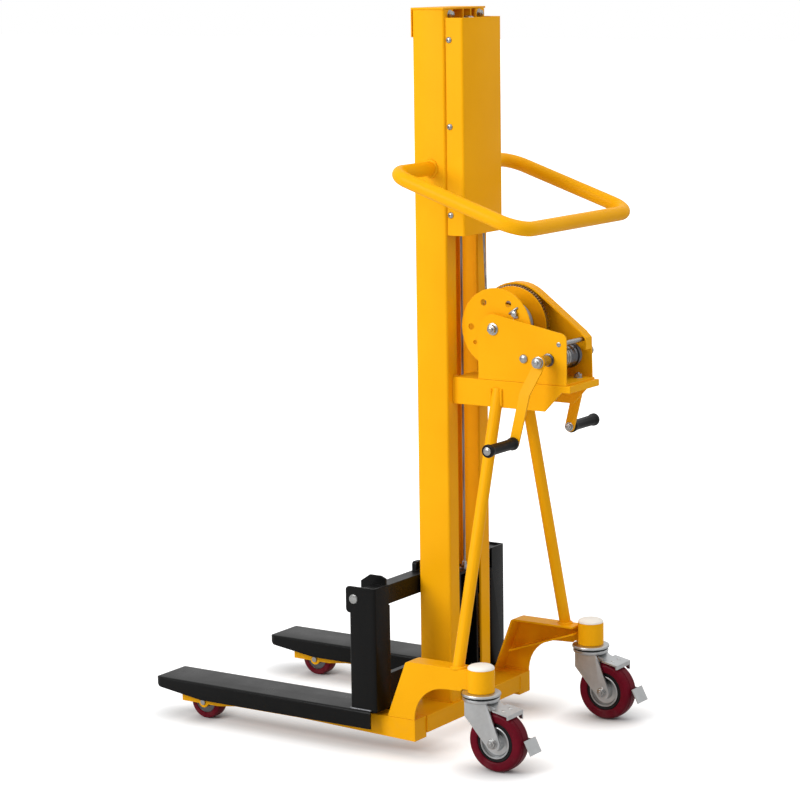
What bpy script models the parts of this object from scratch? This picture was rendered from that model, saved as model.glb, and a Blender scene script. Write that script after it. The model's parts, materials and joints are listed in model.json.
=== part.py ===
"""High lift pallet truck with a hand winch, as an assembly of separate pieces.

Metres, +Z up. The forks point to -Y, the operator stands at +Y, and +X is the operator's left.
Heights count from the floor. Places along Y count from the mast's centre, and the empty
mast_centre carries them to the truck's own frame, whose origin is under the middle of its box.
"""
import math

import bmesh
import bpy
from mathutils import Matrix, Vector

# Clearances between pieces
SEAT_GAP = 0.0003
RUN_GAP = 0.0004
OPEN_END = 0.0020

# The mast's place along the truck
MAST_CENTRE_Y = 0.1445

# Mast: two channels that face each other
MAST_HALF_WIDTH = 0.0800
MAST_DEPTH = 0.0770
CHANNEL_WALL = 0.0050
CHANNEL_FLANGE = 0.0370
MAST_TOP = 1.5280
CAP_PLATE = 0.0040
CAP_LIP_DEPTH = 0.0600
CAP_LIP_WALL = 0.0020
CAP_OVERHANG = 0.0010

# Rear cover over the ropes
COVER_HALF_WIDTH = 0.0744
COVER_REAR_Y = 0.0805
COVER_WALL = 0.0015
COVER_BOTTOM = 1.0680
COVER_TOP_DROP = 0.0160
COVER_BEND = 0.0050

# Head pulley and its hanger
PULLEY_X = -0.0100
PULLEY_Y = 0.0380
PULLEY_DROP = 0.0380
PULLEY_ROPE_RADIUS = 0.0200
PULLEY_RIM_RADIUS = 0.0245
PULLEY_HALF_WIDTH = 0.0070
PULLEY_HUB_RADIUS = 0.0110
PULLEY_HUB_HALF_WIDTH = 0.0125
CHEEK_WALL = 0.0040
CHEEK_FRONT_Y = 0.0050
CHEEK_EAR_RADIUS = 0.0140
CHEEK_SHOULDER_DROP = 0.0220
PULLEY_AXLE_RADIUS = 0.0060
AXLE_HEAD = 0.0040

# Wire rope
ROPE_RADIUS = 0.0025

# Push handle: a bent tube in a plane that slopes down to the rear
HANDLE_RADIUS = 0.0150
HANDLE_WALL = 0.0020
HANDLE_HALF_WIDTH = 0.2260
HANDLE_Y = 0.0020
HANDLE_Z = 1.2050
HANDLE_REACH = 0.3194
HANDLE_SLOPE = math.radians(18.6)
HANDLE_FRONT_BEND = 0.0450
HANDLE_REAR_BEND = 0.0500

# Straddle legs and the crossbeam that joins them
LEG_INNER_X = 0.1866
LEG_OUTER_X = 0.2305
LEG_WALL = 0.0050
LEG_TOP = 0.0770
LEG_REAR_Y = 0.0450
LEG_REAR_BOTTOM = 0.0310
LEG_MIDDLE_Y = -0.2500
LEG_BEND_Y = -0.4200
LEG_BOTTOM = 0.0400
LEG_TIP_REACH = 0.0580
LEG_TIP_LENGTH = 0.0980
LEG_TIP_BOTTOM = 0.0340
LEG_TIP_TOP = 0.0560
LEG_NOSE_LENGTH = 0.0630
LEG_LUG_RADIUS = 0.0125
CROSSBEAM_FRONT_Y = -0.0420
CROSSBEAM_REAR_Y = 0.0470
CROSSBEAM_BOTTOM = 0.0400
CROSSBEAM_WALL = 0.0050

# Load wheels in the legs' tips
LOAD_WHEEL_RADIUS = 0.0380
LOAD_WHEEL_HALF_WIDTH = 0.0150
LOAD_WHEEL_Y = -0.5070
LOAD_AXLE_RADIUS = 0.0060
LOAD_AXLE_END = 0.0030

# Side brackets that carry the rear casters
BRACKET_WALL = 0.0040
BRACKET_FLANGE = 0.0430
BRACKET_TOP = 0.2000
BRACKET_FRONT_FOOT_Y = -0.0230
BRACKET_FRONT_TOP_Y = 0.0230
BRACKET_CORNER = 0.0080
ARCH_REAR_Y = 0.0440
ARCH_TOP = 0.1540
ARCH_RADIUS = 0.0750
GUSSET_FRONT = (0.0130, 0.1270)
GUSSET_REAR_Z = 0.1850
GUSSET_WIDTH = 0.0330

# Casters
CASTER_X = 0.2239
CASTER_Y = 0.2038
CASTER_TUBE_RADIUS = 0.0280
CASTER_TUBE_WALL = 0.0035
CASTER_TUBE_BOTTOM = 0.1600
CASTER_TUBE_TOP = 0.2075
CASTER_STEM_TOP = 0.1950
CASTER_CAP_HEIGHT = 0.0065
CASTER_CAP_PLUG = 0.0080
CASTER_TRAIL = 0.0420
CASTER_RING_RADIUS = 0.0405
CASTER_RING_HEIGHT = 0.0090
CASTER_RING_BEVEL = 0.0020
CASTER_CROWN_RADIUS = 0.0385
CASTER_CROWN_HEIGHT = 0.0080
CASTER_CROWN_EDGE = 0.0030
CASTER_RACE_GAP = 0.0008
CASTER_WHEEL_RADIUS = 0.0625
CASTER_WHEEL_HALF_WIDTH = 0.0200
CASTER_WHEEL_SHOULDER = 0.0560
CASTER_TREAD_CORNER = 0.0030
CASTER_TREAD_EDGE = 0.0090
CASTER_HUB_RADIUS = 0.0410
CASTER_HUB_BOSS = 0.0130
CASTER_HUB_WEB = 0.0040
CASTER_HUB_RIM = 0.0070
CASTER_LEG_GAP = 0.0225
CASTER_LEG_WALL = 0.0040
CASTER_LEG_END_RADIUS = 0.0170
CASTER_LEG_TOP_HALF = 0.0245
CASTER_LEG_FRONT_DROP = 0.0330
CASTER_LEG_REAR_DROP = 0.0220
CASTER_LEG_REAR_STEP = 0.0120
CASTER_TAB_HALF_WIDTH = 0.0300
CASTER_TAB_NECK_HALF_WIDTH = 0.0180
CASTER_TAB_WALL = 0.0030
CASTER_TAB_FRONT_Y = 0.0440
CASTER_TAB_REAR_Y = 0.0810
CASTER_TAB_FRONT_Z = 0.1335
CASTER_TAB_REAR_Z = 0.1265
CASTER_TAB_CHEEK_FRONT_Y = 0.0580
CASTER_TAB_CHEEK_DROP = 0.0190
CASTER_TAB_LIP = 0.0060
CASTER_AXLE_RADIUS = 0.0060
CASTER_NUT_RADIUS = 0.0095
CASTER_NUT_HEIGHT = 0.0085

# Caster brake levers: they turn on the caster axle
BRAKE_WALL = 0.0030
BRAKE_RING_RADIUS = 0.0130
BRAKE_ARM_HALF = 0.0065
BRAKE_PEDAL_FRONT = 0.0655
BRAKE_PEDAL_REAR = 0.0832
BRAKE_PEDAL_RISE = 0.0110
BRAKE_PEDAL_DROP = 0.0180
BRAKE_PEDAL_HALF_WIDTH = 0.0130

# Winch platform and its struts
PLATFORM_HALF_WIDTH = 0.0600
PLATFORM_WALL = 0.0040
PLATFORM_TOP = 0.7720
PLATFORM_BOTTOM = 0.7160
PLATFORM_REAR_Y = 0.3200
PLATFORM_ARM_END_Y = 0.2600
PLATFORM_REAR_LIP = 0.0140
PLATFORM_LIP_Y = 0.3000
STRUT_RADIUS = 0.0125
STRUT_WALL = 0.0020
STRUT_Y = 0.1445
STRUT_TOP_X = 0.0500
STRUT_TOP_Z = 0.7570
STRUT_BOTTOM_X = 0.2165

# Winch frame: a bent plate with two side plates
WINCH_HALF_WIDTH = 0.0580
WINCH_WALL = 0.0035
WINCH_FRONT_Y = 0.1000
WINCH_REAR_Y = 0.3100
WINCH_NOSE_RADIUS = 0.0310
WINCH_CORNER_Z = 0.8660
WINCH_CORNER_RADIUS = 0.0130
WINCH_GUARD_RADIUS = 0.0875
WINCH_GUARD_WIDTH = 0.0240
WINCH_GUARD_FRONT_Y = 0.0850
WINCH_GUARD_CORNER = (0.2910, 0.8720)
WINCH_GUARD_CORNER_DROP = 0.0130
WINCH_GUARD_TAB = 0.0240

# Winch shafts: places, then gears. The gears fix the distances between the shafts.
DRUM_Y = 0.1360
DRUM_Z = 0.8780
GEAR_MODULE = 0.0020
DRUM_GEAR_TEETH = 82
IDLER_PINION_TEETH = 11
IDLER_GEAR_TEETH = 40
CRANK_PINION_TEETH = 19
IDLER_DIRECTION = math.radians(-37.4)
CRANK_DIRECTION = math.radians(1.8)
PRESSURE_ANGLE = math.radians(20.0)
GEAR_ADDENDUM = 0.65
PINION_ADDENDUM = 0.80
GEAR_DEDENDUM = 1.10
GEAR_BACKLASH = 0.0003

# Winch drum
DRUM_NEAR_X = 0.0455
DRUM_FAR_X = -0.0235
DRUM_FLANGE_RADIUS = 0.0838
DRUM_FAR_FLANGE_RADIUS = 0.0805
DRUM_FLANGE_WALL = 0.0030
DRUM_BARREL_RADIUS = 0.0469
DRUM_BARREL_WALL = 0.0050
DRUM_HUB_RADIUS = 0.0160
DRUM_AXLE_RADIUS = 0.0060
DRUM_NUT_RADIUS = 0.0120
DRUM_NUT_HEIGHT = 0.0070
DRUM_HOLE_RADIUS = 0.0070
DRUM_HOLE_CIRCLE = 0.0600
DRUM_HOLE_COUNT = 6
DRUM_ROPE_HOLE_RADIUS = 0.0045
DRUM_ROPE_HOLE_ANGLE = math.radians(212.0)
ROPE_COIL_WIDTH = 0.0300
ROPE_END_ANGLE = 250.0
DRUM_GEAR_WIDTH = 0.0085
CLAMP_ANGLE = math.radians(35.0)
CLAMP_CIRCLE = 0.0570
CLAMP_BOLT_RADIUS = 0.0035
CLAMP_BAR_LENGTH = 0.0180
CLAMP_BAR_WIDTH = 0.0100

# Winch idler, crank shaft and brake
IDLER_GEAR_X = -0.0355
IDLER_GEAR_WIDTH = 0.0070
IDLER_SHAFT_RADIUS = 0.0060
IDLER_HEAD_RADIUS = 0.0085
IDLER_HEAD_HEIGHT = 0.0030
CRANK_SHAFT_RADIUS = 0.0070
BRAKE_HUB_RADIUS = 0.0230
BRAKE_HUB_FAR_X = -0.0330
BRAKE_HUB_RIBS = 4
RATCHET_X = 0.0380
RATCHET_WIDTH = 0.0060
RATCHET_RADIUS = 0.0260
RATCHET_TOOTH = 0.0025
RATCHET_TEETH = 14
SPACER_RADIUS = 0.0050
SPACER_Y = 0.2925
SPACER_Z = 0.8560
PAWL_RING = 0.0035
PAWL_LENGTH = 0.0260
PAWL_TIP_GAP = 0.0008
PAWL_TIP_WIDTH = 0.0040

# Cranks
CRANK_ANGLE = math.radians(14.0)
CRANK_RADIUS = 0.1697
CRANK_HUB_X = {"left": 0.0965, "right": 0.0970}
CRANK_ARM_X = {"left": 0.1270, "right": 0.0970}
CRANK_BEND_START = 0.0140
CRANK_BEND_LENGTH = 0.0620
CRANK_BAR_WIDTH = 0.0220
CRANK_BAR_WALL = 0.0050
CRANK_COLLAR_RADIUS = 0.0110
CRANK_NUT_RADIUS = 0.0110
CRANK_NUT_HEIGHT = 0.0080
GRIP_LENGTH = 0.1010
GRIP_RADIUS = 0.0115
GRIP_END_RADIUS = 0.0135
GRIP_SPINDLE_RADIUS = 0.0050

# Forks on their carriage, at the lowest position
FORK_INNER_X = 0.1575
FORK_OUTER_X = 0.2614
FORK_WALL = 0.0040
FORK_TOP = 0.0893
FORK_BOTTOM = 0.0520
FORK_HEEL_Y = -0.0460
FORK_TIP_Y = -0.6180
FORK_TAPER_Y = -0.4900
FORK_TIP_BOTTOM = 0.0670
FORK_NOSE_RADIUS = 0.0100
FORK_EDGE_RADIUS = 0.0050
FORK_PLAN_RADIUS = 0.0200
FORK_TIP_PLATE = 0.0240
SHANK_INNER_X = 0.1950
SHANK_OUTER_X = 0.2550
SHANK_FRONT_Y = -0.0990
SHANK_REAR_Y = -0.0340
SHANK_WALL = 0.0040
SHANK_TOP = 0.3500
SHANK_FRONT_TOP = 0.2940
SHANK_BEND = 0.0060
EAR_FRONT_Y = -0.1063
EAR_BOTTOM = 0.2940
EAR_CORNER = 0.0080
HOOK_TOP = 0.3650
HOOK_FRONT_Y = -0.0840
HOOK_REAR_Y = -0.0560
HOOK_END_Y = -0.0440
HOOK_END_Z = 0.3600
ROD_Y = -0.0866
ROD_Z = 0.3240
ROD_RADIUS = 0.0100
ROD_END = 0.0020
BAR_REAR_Y = -0.0410
BAR_DEPTH = 0.0345
BAR_END_X = 0.2505
BAR_TOP = 0.3460
BAR_BOTTOM = 0.3055
BAR_WALL = 0.0050
STOP_X = 0.0400
STOP_HALF_WIDTH = 0.0130
STOP_HEIGHT = 0.0190
STOP_WALL = 0.0120
STOP_CORNER = 0.0040
LOW_BAR_REAR_Y = -0.0402
LOW_BAR_DEPTH = 0.0128
LOW_BAR_BOTTOM = 0.0945
LOW_BAR_TOP = 0.1575

# Carriage inside the mast
CARRIAGE_HALF_WIDTH = 0.0360
CARRIAGE_WALL = 0.0060
CARRIAGE_BOTTOM = 0.0950
CARRIAGE_TOP = 0.3500
CARRIAGE_REAR_Y = 0.0340
ROLLER_LOW_Z = 0.1350
ROLLER_HIGH_Z = 0.3100
ROLLER_HALF_WIDTH = 0.0110
ROLLER_AXLE_RADIUS = 0.0100
ANCHOR_RADIUS = 0.0060
ANCHOR_HEIGHT = 0.0150
ANCHOR_NUT_HEIGHT = 0.0060
ANCHOR_NUT_RADIUS = 0.0090

# Colours, roughness, metallic
YELLOW_PAINT = ((0.930, 0.480, 0.010), 0.35, 0.0)
BLACK_PAINT = ((0.015, 0.015, 0.015), 0.40, 0.0)
ZINC = ((0.620, 0.620, 0.610), 0.35, 1.0)
STEEL = ((0.550, 0.550, 0.560), 0.30, 1.0)
DARK_STEEL = ((0.120, 0.120, 0.130), 0.40, 1.0)
ROPE_STEEL = ((0.450, 0.460, 0.470), 0.45, 1.0)
TREAD = ((0.200, 0.010, 0.035), 0.35, 0.0)
WHITE_PLASTIC = ((0.800, 0.800, 0.800), 0.40, 0.0)
BLACK_PLASTIC = ((0.020, 0.020, 0.020), 0.50, 0.0)

# Places that several pieces share
SIDES = {"left": 1.0, "right": -1.0}
FULL_TURN = 2.0 * math.pi
X_AXIS = Vector((1.0, 0.0, 0.0))
Y_AXIS = Vector((0.0, 1.0, 0.0))
Z_AXIS = Vector((0.0, 0.0, 1.0))
MAST_FACE_Y = MAST_DEPTH / 2.0
COVER_TOP = MAST_TOP - COVER_TOP_DROP
PULLEY_Z = MAST_TOP - PULLEY_DROP
CHEEK_SHOULDER_Z = MAST_TOP - CHEEK_SHOULDER_DROP
LEG_TIP_Y = LOAD_WHEEL_Y - LEG_TIP_REACH
LEG_TIP_START_Y = LEG_TIP_Y + LEG_TIP_LENGTH
LEG_NOSE_Y = LEG_TIP_Y + LEG_NOSE_LENGTH
ROPE_FRONT_Y = PULLEY_Y - PULLEY_ROPE_RADIUS
COIL_INNER_RADIUS = DRUM_BARREL_RADIUS + SEAT_GAP
COIL_OUTER_RADIUS = COIL_INNER_RADIUS + 2.0 * ROPE_RADIUS
DRUM_ROPE_RADIUS = COIL_OUTER_RADIUS + SEAT_GAP + ROPE_RADIUS
WINCH_INNER_X = WINCH_HALF_WIDTH - WINCH_WALL
WINCH_BASE_Z = PLATFORM_TOP + SEAT_GAP
IDLER_CENTRES = GEAR_MODULE * (DRUM_GEAR_TEETH + IDLER_PINION_TEETH) / 2.0
CRANK_CENTRES = GEAR_MODULE * (IDLER_GEAR_TEETH + CRANK_PINION_TEETH) / 2.0
IDLER_Y = DRUM_Y + IDLER_CENTRES * math.cos(IDLER_DIRECTION)
IDLER_Z = DRUM_Z + IDLER_CENTRES * math.sin(IDLER_DIRECTION)
CRANK_Y = IDLER_Y + CRANK_CENTRES * math.cos(CRANK_DIRECTION)
CRANK_Z = IDLER_Z + CRANK_CENTRES * math.sin(CRANK_DIRECTION)
DRUM_GEAR_X = DRUM_FAR_X - SEAT_GAP
LEG_CENTRE_X = (LEG_INNER_X + LEG_OUTER_X) / 2.0
CASTER_HEAD_Z = CASTER_TUBE_BOTTOM - SEAT_GAP
CASTER_FORK_Z = CASTER_HEAD_Z - CASTER_RING_HEIGHT - CASTER_RACE_GAP
CASTER_STEM_RADIUS = CASTER_TUBE_RADIUS - CASTER_TUBE_WALL - SEAT_GAP
ROLLER_RADIUS = MAST_FACE_Y - CHANNEL_WALL - RUN_GAP
ROLLER_X = (MAST_HALF_WIDTH - CHANNEL_WALL + CARRIAGE_HALF_WIDTH) / 2.0
ANCHOR_Z = CARRIAGE_TOP + SEAT_GAP


def clear_scene():
    """Remove the objects that the file starts with."""
    for item in list(bpy.data.objects):
        bpy.data.objects.remove(item)


def paint(name, finish):
    """Return the material of that name, made from its colour, roughness and metallic value."""
    found = bpy.data.materials.get(name)
    if found:
        return found
    colour, roughness, metallic = finish
    made = bpy.data.materials.new(name)
    made.use_nodes = True
    shader = made.node_tree.nodes["Principled BSDF"]
    shader.inputs["Base Color"].default_value = (*colour, 1.0)
    shader.inputs["Roughness"].default_value = roughness
    shader.inputs["Metallic"].default_value = metallic
    return made


def piece(name, shape, finish_name, finish, parent, origin=(0.0, 0.0, 0.0), smooth_below=30.0):
    """Turn a bmesh into the named object, with its origin at the given point of its parent."""
    bmesh.ops.translate(shape, verts=shape.verts, vec=-Vector(origin))
    mesh = bpy.data.meshes.new(name)
    shape.to_mesh(mesh)
    shape.free()
    mesh.shade_smooth()
    mesh.set_sharp_from_angle(angle=math.radians(smooth_below))
    mesh.materials.append(paint(finish_name, finish))
    made = bpy.data.objects.new(name, mesh)
    made.location = origin
    made.parent = parent
    bpy.context.scene.collection.objects.link(made)
    return made


def arc(centre, radius, start, end, steps):
    """Points on an arc, with the angles in degrees."""
    angles = [math.radians(start + (end - start) * i / steps) for i in range(steps + 1)]
    return [(centre[0] + radius * math.cos(a), centre[1] + radius * math.sin(a)) for a in angles]


def rounded_box(low, high, radius, steps=3):
    """A rectangle's outline with round corners, from its lowest corner to its highest."""
    (left, bottom), (right, top) = low, high
    outline = arc((right - radius, bottom + radius), radius, -90, 0, steps)
    outline += arc((right - radius, top - radius), radius, 0, 90, steps)
    outline += arc((left + radius, top - radius), radius, 90, 180, steps)
    outline += arc((left + radius, bottom + radius), radius, 180, 270, steps)
    return outline


def prism(outline, axis, low, high):
    """A flat outline pushed along x, y or z. The outline's two numbers are the other two axes."""
    shape = bmesh.new()
    place = {
        "x": lambda a, b: (low, a, b),
        "y": lambda a, b: (a, low, b),
        "z": lambda a, b: (a, b, low),
    }[axis]
    corners = [shape.verts.new(place(a, b)) for a, b in outline]
    face = shape.faces.new(corners)
    grown = bmesh.ops.extrude_face_region(shape, geom=[face])
    moved = [item for item in grown["geom"] if isinstance(item, bmesh.types.BMVert)]
    push = {"x": X_AXIS, "y": Y_AXIS, "z": Z_AXIS}[axis] * (high - low)
    bmesh.ops.translate(shape, verts=moved, vec=push)
    bmesh.ops.recalc_face_normals(shape, faces=shape.faces)
    return shape


def box(low, high):
    """A box between two corners."""
    outline = [(low[0], low[1]), (high[0], low[1]), (high[0], high[1]), (low[0], high[1])]
    return prism(outline, "z", low[2], high[2])


def turned(profile, centre, axis, steps=32):
    """A turned shape. Each profile point is its distance along the axis and its radius."""
    shape = bmesh.new()
    side = axis.orthogonal().normalized()
    centre = Vector(centre)
    points = [shape.verts.new(centre + axis * along + side * radius) for along, radius in profile]
    edges = [shape.edges.new(pair) for pair in zip(points, points[1:])]
    if profile[0][1] > 0.0:
        edges.append(shape.edges.new((points[-1], points[0])))
    bmesh.ops.spin(
        shape, geom=points + edges, cent=centre, axis=axis, angle=FULL_TURN, steps=steps, use_merge=True
    )
    bmesh.ops.remove_doubles(shape, verts=shape.verts, dist=1e-6)
    bmesh.ops.recalc_face_normals(shape, faces=shape.faces)
    return shape


def rod(centre, axis, start, end, radius, steps=24):
    """A round bar along an axis."""
    return turned([(start, 0.0), (start, radius), (end, radius), (end, 0.0)], centre, axis, steps)


def loose_object(shape):
    """A short-lived object that holds a bmesh for a Boolean."""
    mesh = bpy.data.meshes.new("loose")
    shape.to_mesh(mesh)
    shape.free()
    made = bpy.data.objects.new("loose", mesh)
    bpy.context.scene.collection.objects.link(made)
    return made


def combine(base, tool, operation):
    """The Boolean of two closed shapes, as a new bmesh."""
    first = loose_object(base)
    second = loose_object(tool)
    cut = first.modifiers.new("cut", "BOOLEAN")
    cut.object = second
    cut.operation = operation
    cut.solver = "EXACT"
    seen = first.evaluated_get(bpy.context.evaluated_depsgraph_get())
    result = bmesh.new()
    result.from_mesh(seen.to_mesh())
    seen.to_mesh_clear()
    for item in (first, second):
        mesh = item.data
        bpy.data.objects.remove(item)
        bpy.data.meshes.remove(mesh)
    return result


def joined(*shapes):
    """Several shapes made one body."""
    result = shapes[0]
    for shape in shapes[1:]:
        result = combine(result, shape, "UNION")
    return result


def cut(base, *tools):
    """A shape with others taken out of it."""
    for tool in tools:
        base = combine(base, tool, "DIFFERENCE")
    return base


def swept(points, radius, resolution=3):
    """A round bar along a line of points, with closed ends."""
    data = bpy.data.curves.new("line", "CURVE")
    data.dimensions = "3D"
    data.bevel_depth = radius
    data.bevel_resolution = resolution
    data.use_fill_caps = True
    line = data.splines.new("POLY")
    line.points.add(len(points) - 1)
    for spot, point in zip(line.points, points):
        spot.co = (*point, 1.0)
    made = bpy.data.objects.new("line", data)
    bpy.context.scene.collection.objects.link(made)
    seen = made.evaluated_get(bpy.context.evaluated_depsgraph_get())
    shape = bmesh.new()
    shape.from_mesh(seen.to_mesh())
    seen.to_mesh_clear()
    bpy.data.objects.remove(made)
    bpy.data.curves.remove(data)
    bmesh.ops.remove_doubles(shape, verts=shape.verts, dist=1e-6)
    bmesh.ops.recalc_face_normals(shape, faces=shape.faces)
    return shape


def mirrored(shape, sign):
    """The shape as it is on the left, or its mirror image on the right."""
    if sign < 0.0:
        bmesh.ops.scale(shape, verts=shape.verts, vec=(-1.0, 1.0, 1.0))
        bmesh.ops.reverse_faces(shape, faces=shape.faces)
    return shape


def moved_across(shape, sign):
    """The caster shape as it is on the left, or the same shape moved to the right caster's place."""
    bmesh.ops.translate(shape, verts=shape.verts, vec=X_AXIS * (sign - 1.0) * CASTER_X)
    return shape


def span(sign, inner, outer):
    """The lower and upper X of something that lies between two distances on one side."""
    return tuple(sorted((sign * inner, sign * outer)))


def involute(angle):
    """The involute of a pressure angle."""
    return math.tan(angle) - angle


def gear_outline(teeth, addendum, centre, facing):
    """A gear's outline, with a tooth centred on the direction that it faces."""
    pitch = GEAR_MODULE * teeth / 2.0
    base = pitch * math.cos(PRESSURE_ANGLE)
    tip = pitch + addendum * GEAR_MODULE
    root = pitch - GEAR_DEDENDUM * GEAR_MODULE
    half_at_pitch = math.pi / (2.0 * teeth) - GEAR_BACKLASH / (2.0 * pitch)
    flank = []
    for radius in (root, tip):
        pressure = math.acos(min(1.0, base / radius))
        flank.append((radius, half_at_pitch + involute(PRESSURE_ANGLE) - involute(pressure)))
    outline = []
    for tooth in range(teeth):
        middle = facing + FULL_TURN * tooth / teeth
        sides = [(radius, middle - half) for radius, half in flank]
        sides += [(radius, middle + half) for radius, half in reversed(flank)]
        for radius, angle in sides:
            outline.append((centre[0] + radius * math.cos(angle), centre[1] + radius * math.sin(angle)))
    return outline


def make_channel(side, sign, parent):
    """One mast channel, its flanges turned inwards."""
    web_outer = MAST_HALF_WIDTH
    web_inner = MAST_HALF_WIDTH - CHANNEL_WALL
    lip = MAST_HALF_WIDTH - CHANNEL_FLANGE
    face = MAST_FACE_Y
    inside = MAST_FACE_Y - CHANNEL_WALL
    corner = CHANNEL_WALL
    outline = [(lip, -face)]
    outline += arc((web_outer - corner, -face + corner), corner, -90, 0, 3)
    outline += arc((web_outer - corner, face - corner), corner, 0, 90, 3)
    outline += [(lip, face), (lip, inside), (web_inner, inside), (web_inner, -inside), (lip, -inside)]
    shape = prism(outline, "z", LEG_TOP + SEAT_GAP, MAST_TOP)
    piece(f"mast_channel_{side}", mirrored(shape, sign), "yellow_paint", YELLOW_PAINT, parent)


def make_mast_head(parent):
    """The cap with its front lip, and the two cheeks that hang from it for the pulley."""
    plate_low = MAST_TOP + SEAT_GAP
    plate_high = plate_low + CAP_PLATE
    half = MAST_HALF_WIDTH + CAP_OVERHANG
    front = -MAST_FACE_Y - SEAT_GAP
    lip_front = front - CAP_LIP_WALL
    side_view = [
        (lip_front, plate_high), (lip_front, plate_high - CAP_LIP_DEPTH), (front, plate_high - CAP_LIP_DEPTH),
        (front, plate_low), (MAST_FACE_Y, plate_low), (MAST_FACE_Y, plate_high),
    ]
    shape = prism(side_view, "x", -half, half)
    ear = arc((PULLEY_Y, PULLEY_Z), CHEEK_EAR_RADIUS, 225, 405, 10)
    outline = [(CHEEK_FRONT_Y, CHEEK_SHOULDER_Z)] + ear
    outline += [(MAST_FACE_Y, CHEEK_SHOULDER_Z), (MAST_FACE_Y, plate_low + CAP_PLATE / 2.0)]
    outline += [(CHEEK_FRONT_Y, plate_low + CAP_PLATE / 2.0)]
    near = PULLEY_HUB_HALF_WIDTH + SEAT_GAP
    for sign in SIDES.values():
        low, high = sorted((PULLEY_X + sign * near, PULLEY_X + sign * (near + CHEEK_WALL)))
        shape = joined(shape, prism(outline, "x", low, high))
    hole = rod((PULLEY_X, PULLEY_Y, PULLEY_Z), X_AXIS, -0.03, 0.03, PULLEY_AXLE_RADIUS + SEAT_GAP)
    piece("mast_head", cut(shape, hole), "yellow_paint", YELLOW_PAINT, parent)


def make_cover(parent):
    """The folded rear cover, open at the top and the bottom."""
    front = MAST_FACE_Y + SEAT_GAP
    half = COVER_HALF_WIDTH
    bend = COVER_BEND
    inner_bend = COVER_BEND - COVER_WALL
    outline = [(half, front)]
    outline += arc((half - bend, COVER_REAR_Y - bend), bend, 0, 90, 3)
    outline += arc((-half + bend, COVER_REAR_Y - bend), bend, 90, 180, 3)
    outline += [(-half, front), (-half + COVER_WALL, front)]
    outline += arc((-half + bend, COVER_REAR_Y - bend), inner_bend, 180, 90, 3)
    outline += arc((half - bend, COVER_REAR_Y - bend), inner_bend, 90, 0, 3)
    outline += [(half - COVER_WALL, front)]
    shape = prism(outline, "z", COVER_BOTTOM, COVER_TOP)
    piece("rope_cover", shape, "yellow_paint", YELLOW_PAINT, parent)


def make_head_pulley(parent):
    """The grooved pulley and the pin that it runs on."""
    centre = (PULLEY_X, PULLEY_Y, PULLEY_Z)
    groove = PULLEY_ROPE_RADIUS - ROPE_RADIUS - SEAT_GAP
    rim = PULLEY_RIM_RADIUS
    half = PULLEY_HALF_WIDTH
    hub = PULLEY_HUB_HALF_WIDTH
    floor = ROPE_RADIUS + SEAT_GAP
    bore = PULLEY_AXLE_RADIUS + SEAT_GAP
    half_profile = [(0.0, groove), (floor * 0.7, groove + floor * 0.3), (half - 0.0015, rim)]
    half_profile += [(half, rim), (half, PULLEY_HUB_RADIUS), (hub, PULLEY_HUB_RADIUS)]
    half_profile += [(hub, bore)]
    profile = [(-along, radius) for along, radius in reversed(half_profile)] + half_profile[1:]
    shape = turned(profile, centre, X_AXIS, 24)
    piece("head_pulley", shape, "steel", STEEL, parent, origin=centre)
    end = PULLEY_HUB_HALF_WIDTH + SEAT_GAP + CHEEK_WALL + SEAT_GAP
    pin = PULLEY_AXLE_RADIUS
    head = pin * 1.5
    profile = [(-end - AXLE_HEAD, 0.0), (-end - AXLE_HEAD, head), (-end, head), (-end, pin)]
    profile += [(-along, radius) for along, radius in reversed(profile)]
    piece("pulley_axle", turned(profile, centre, X_AXIS, 16), "steel", STEEL, parent, origin=centre)


def make_ropes(parent):
    """The rope from the carriage up to the pulley, and from there over it and down to the drum."""
    low = (PULLEY_X, ROPE_FRONT_Y, ANCHOR_Z + ANCHOR_HEIGHT + SEAT_GAP)
    high = (PULLEY_X, ROPE_FRONT_Y, PULLEY_Z - SEAT_GAP)
    piece("rope_to_carriage", swept([low, high], ROPE_RADIUS), "wire_rope", ROPE_STEEL, parent)
    run_y = DRUM_Y - PULLEY_Y
    run_z = DRUM_Z - PULLEY_Z
    run = math.hypot(run_y, run_z)
    turn = math.degrees(math.atan2(run_y, -run_z))
    cross = math.degrees(math.asin((PULLEY_ROPE_RADIUS + DRUM_ROPE_RADIUS) / run))
    leave = turn - cross
    over = arc((PULLEY_Y, PULLEY_Z), PULLEY_ROPE_RADIUS, 180, leave, 14)
    under = arc((DRUM_Y, DRUM_Z), DRUM_ROPE_RADIUS, 180 + leave, ROPE_END_ANGLE, 7)
    points = [(PULLEY_X, y, z) for y, z in over + under]
    piece("rope_to_winch", swept(points, ROPE_RADIUS), "wire_rope", ROPE_STEEL, parent)


def make_handle(parent):
    """The push handle: one tube bent round the operator, both ends on the mast."""
    start = MAST_HALF_WIDTH + SEAT_GAP
    front, rear = HANDLE_FRONT_BEND, HANDLE_REAR_BEND
    plan = [(start, 0.0)]
    plan += arc((HANDLE_HALF_WIDTH - front, front), front, -90, 0, 6)
    plan += arc((HANDLE_HALF_WIDTH - rear, HANDLE_REACH - rear), rear, 0, 90, 6)
    plan += [(-x, v) for x, v in reversed(plan)]

    def in_space(x, v):
        return (x, HANDLE_Y + v * math.cos(HANDLE_SLOPE), HANDLE_Z - v * math.sin(HANDLE_SLOPE))

    line = [in_space(x, v) for x, v in plan]
    inner = [in_space(start - OPEN_END, 0.0)] + line[1:-1] + [in_space(OPEN_END - start, 0.0)]
    outside = swept(line, HANDLE_RADIUS, 3)
    inside = swept(inner, HANDLE_RADIUS - HANDLE_WALL, 0)
    piece("push_handle", cut(outside, inside), "yellow_paint", YELLOW_PAINT, parent, smooth_below=50.0)


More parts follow.
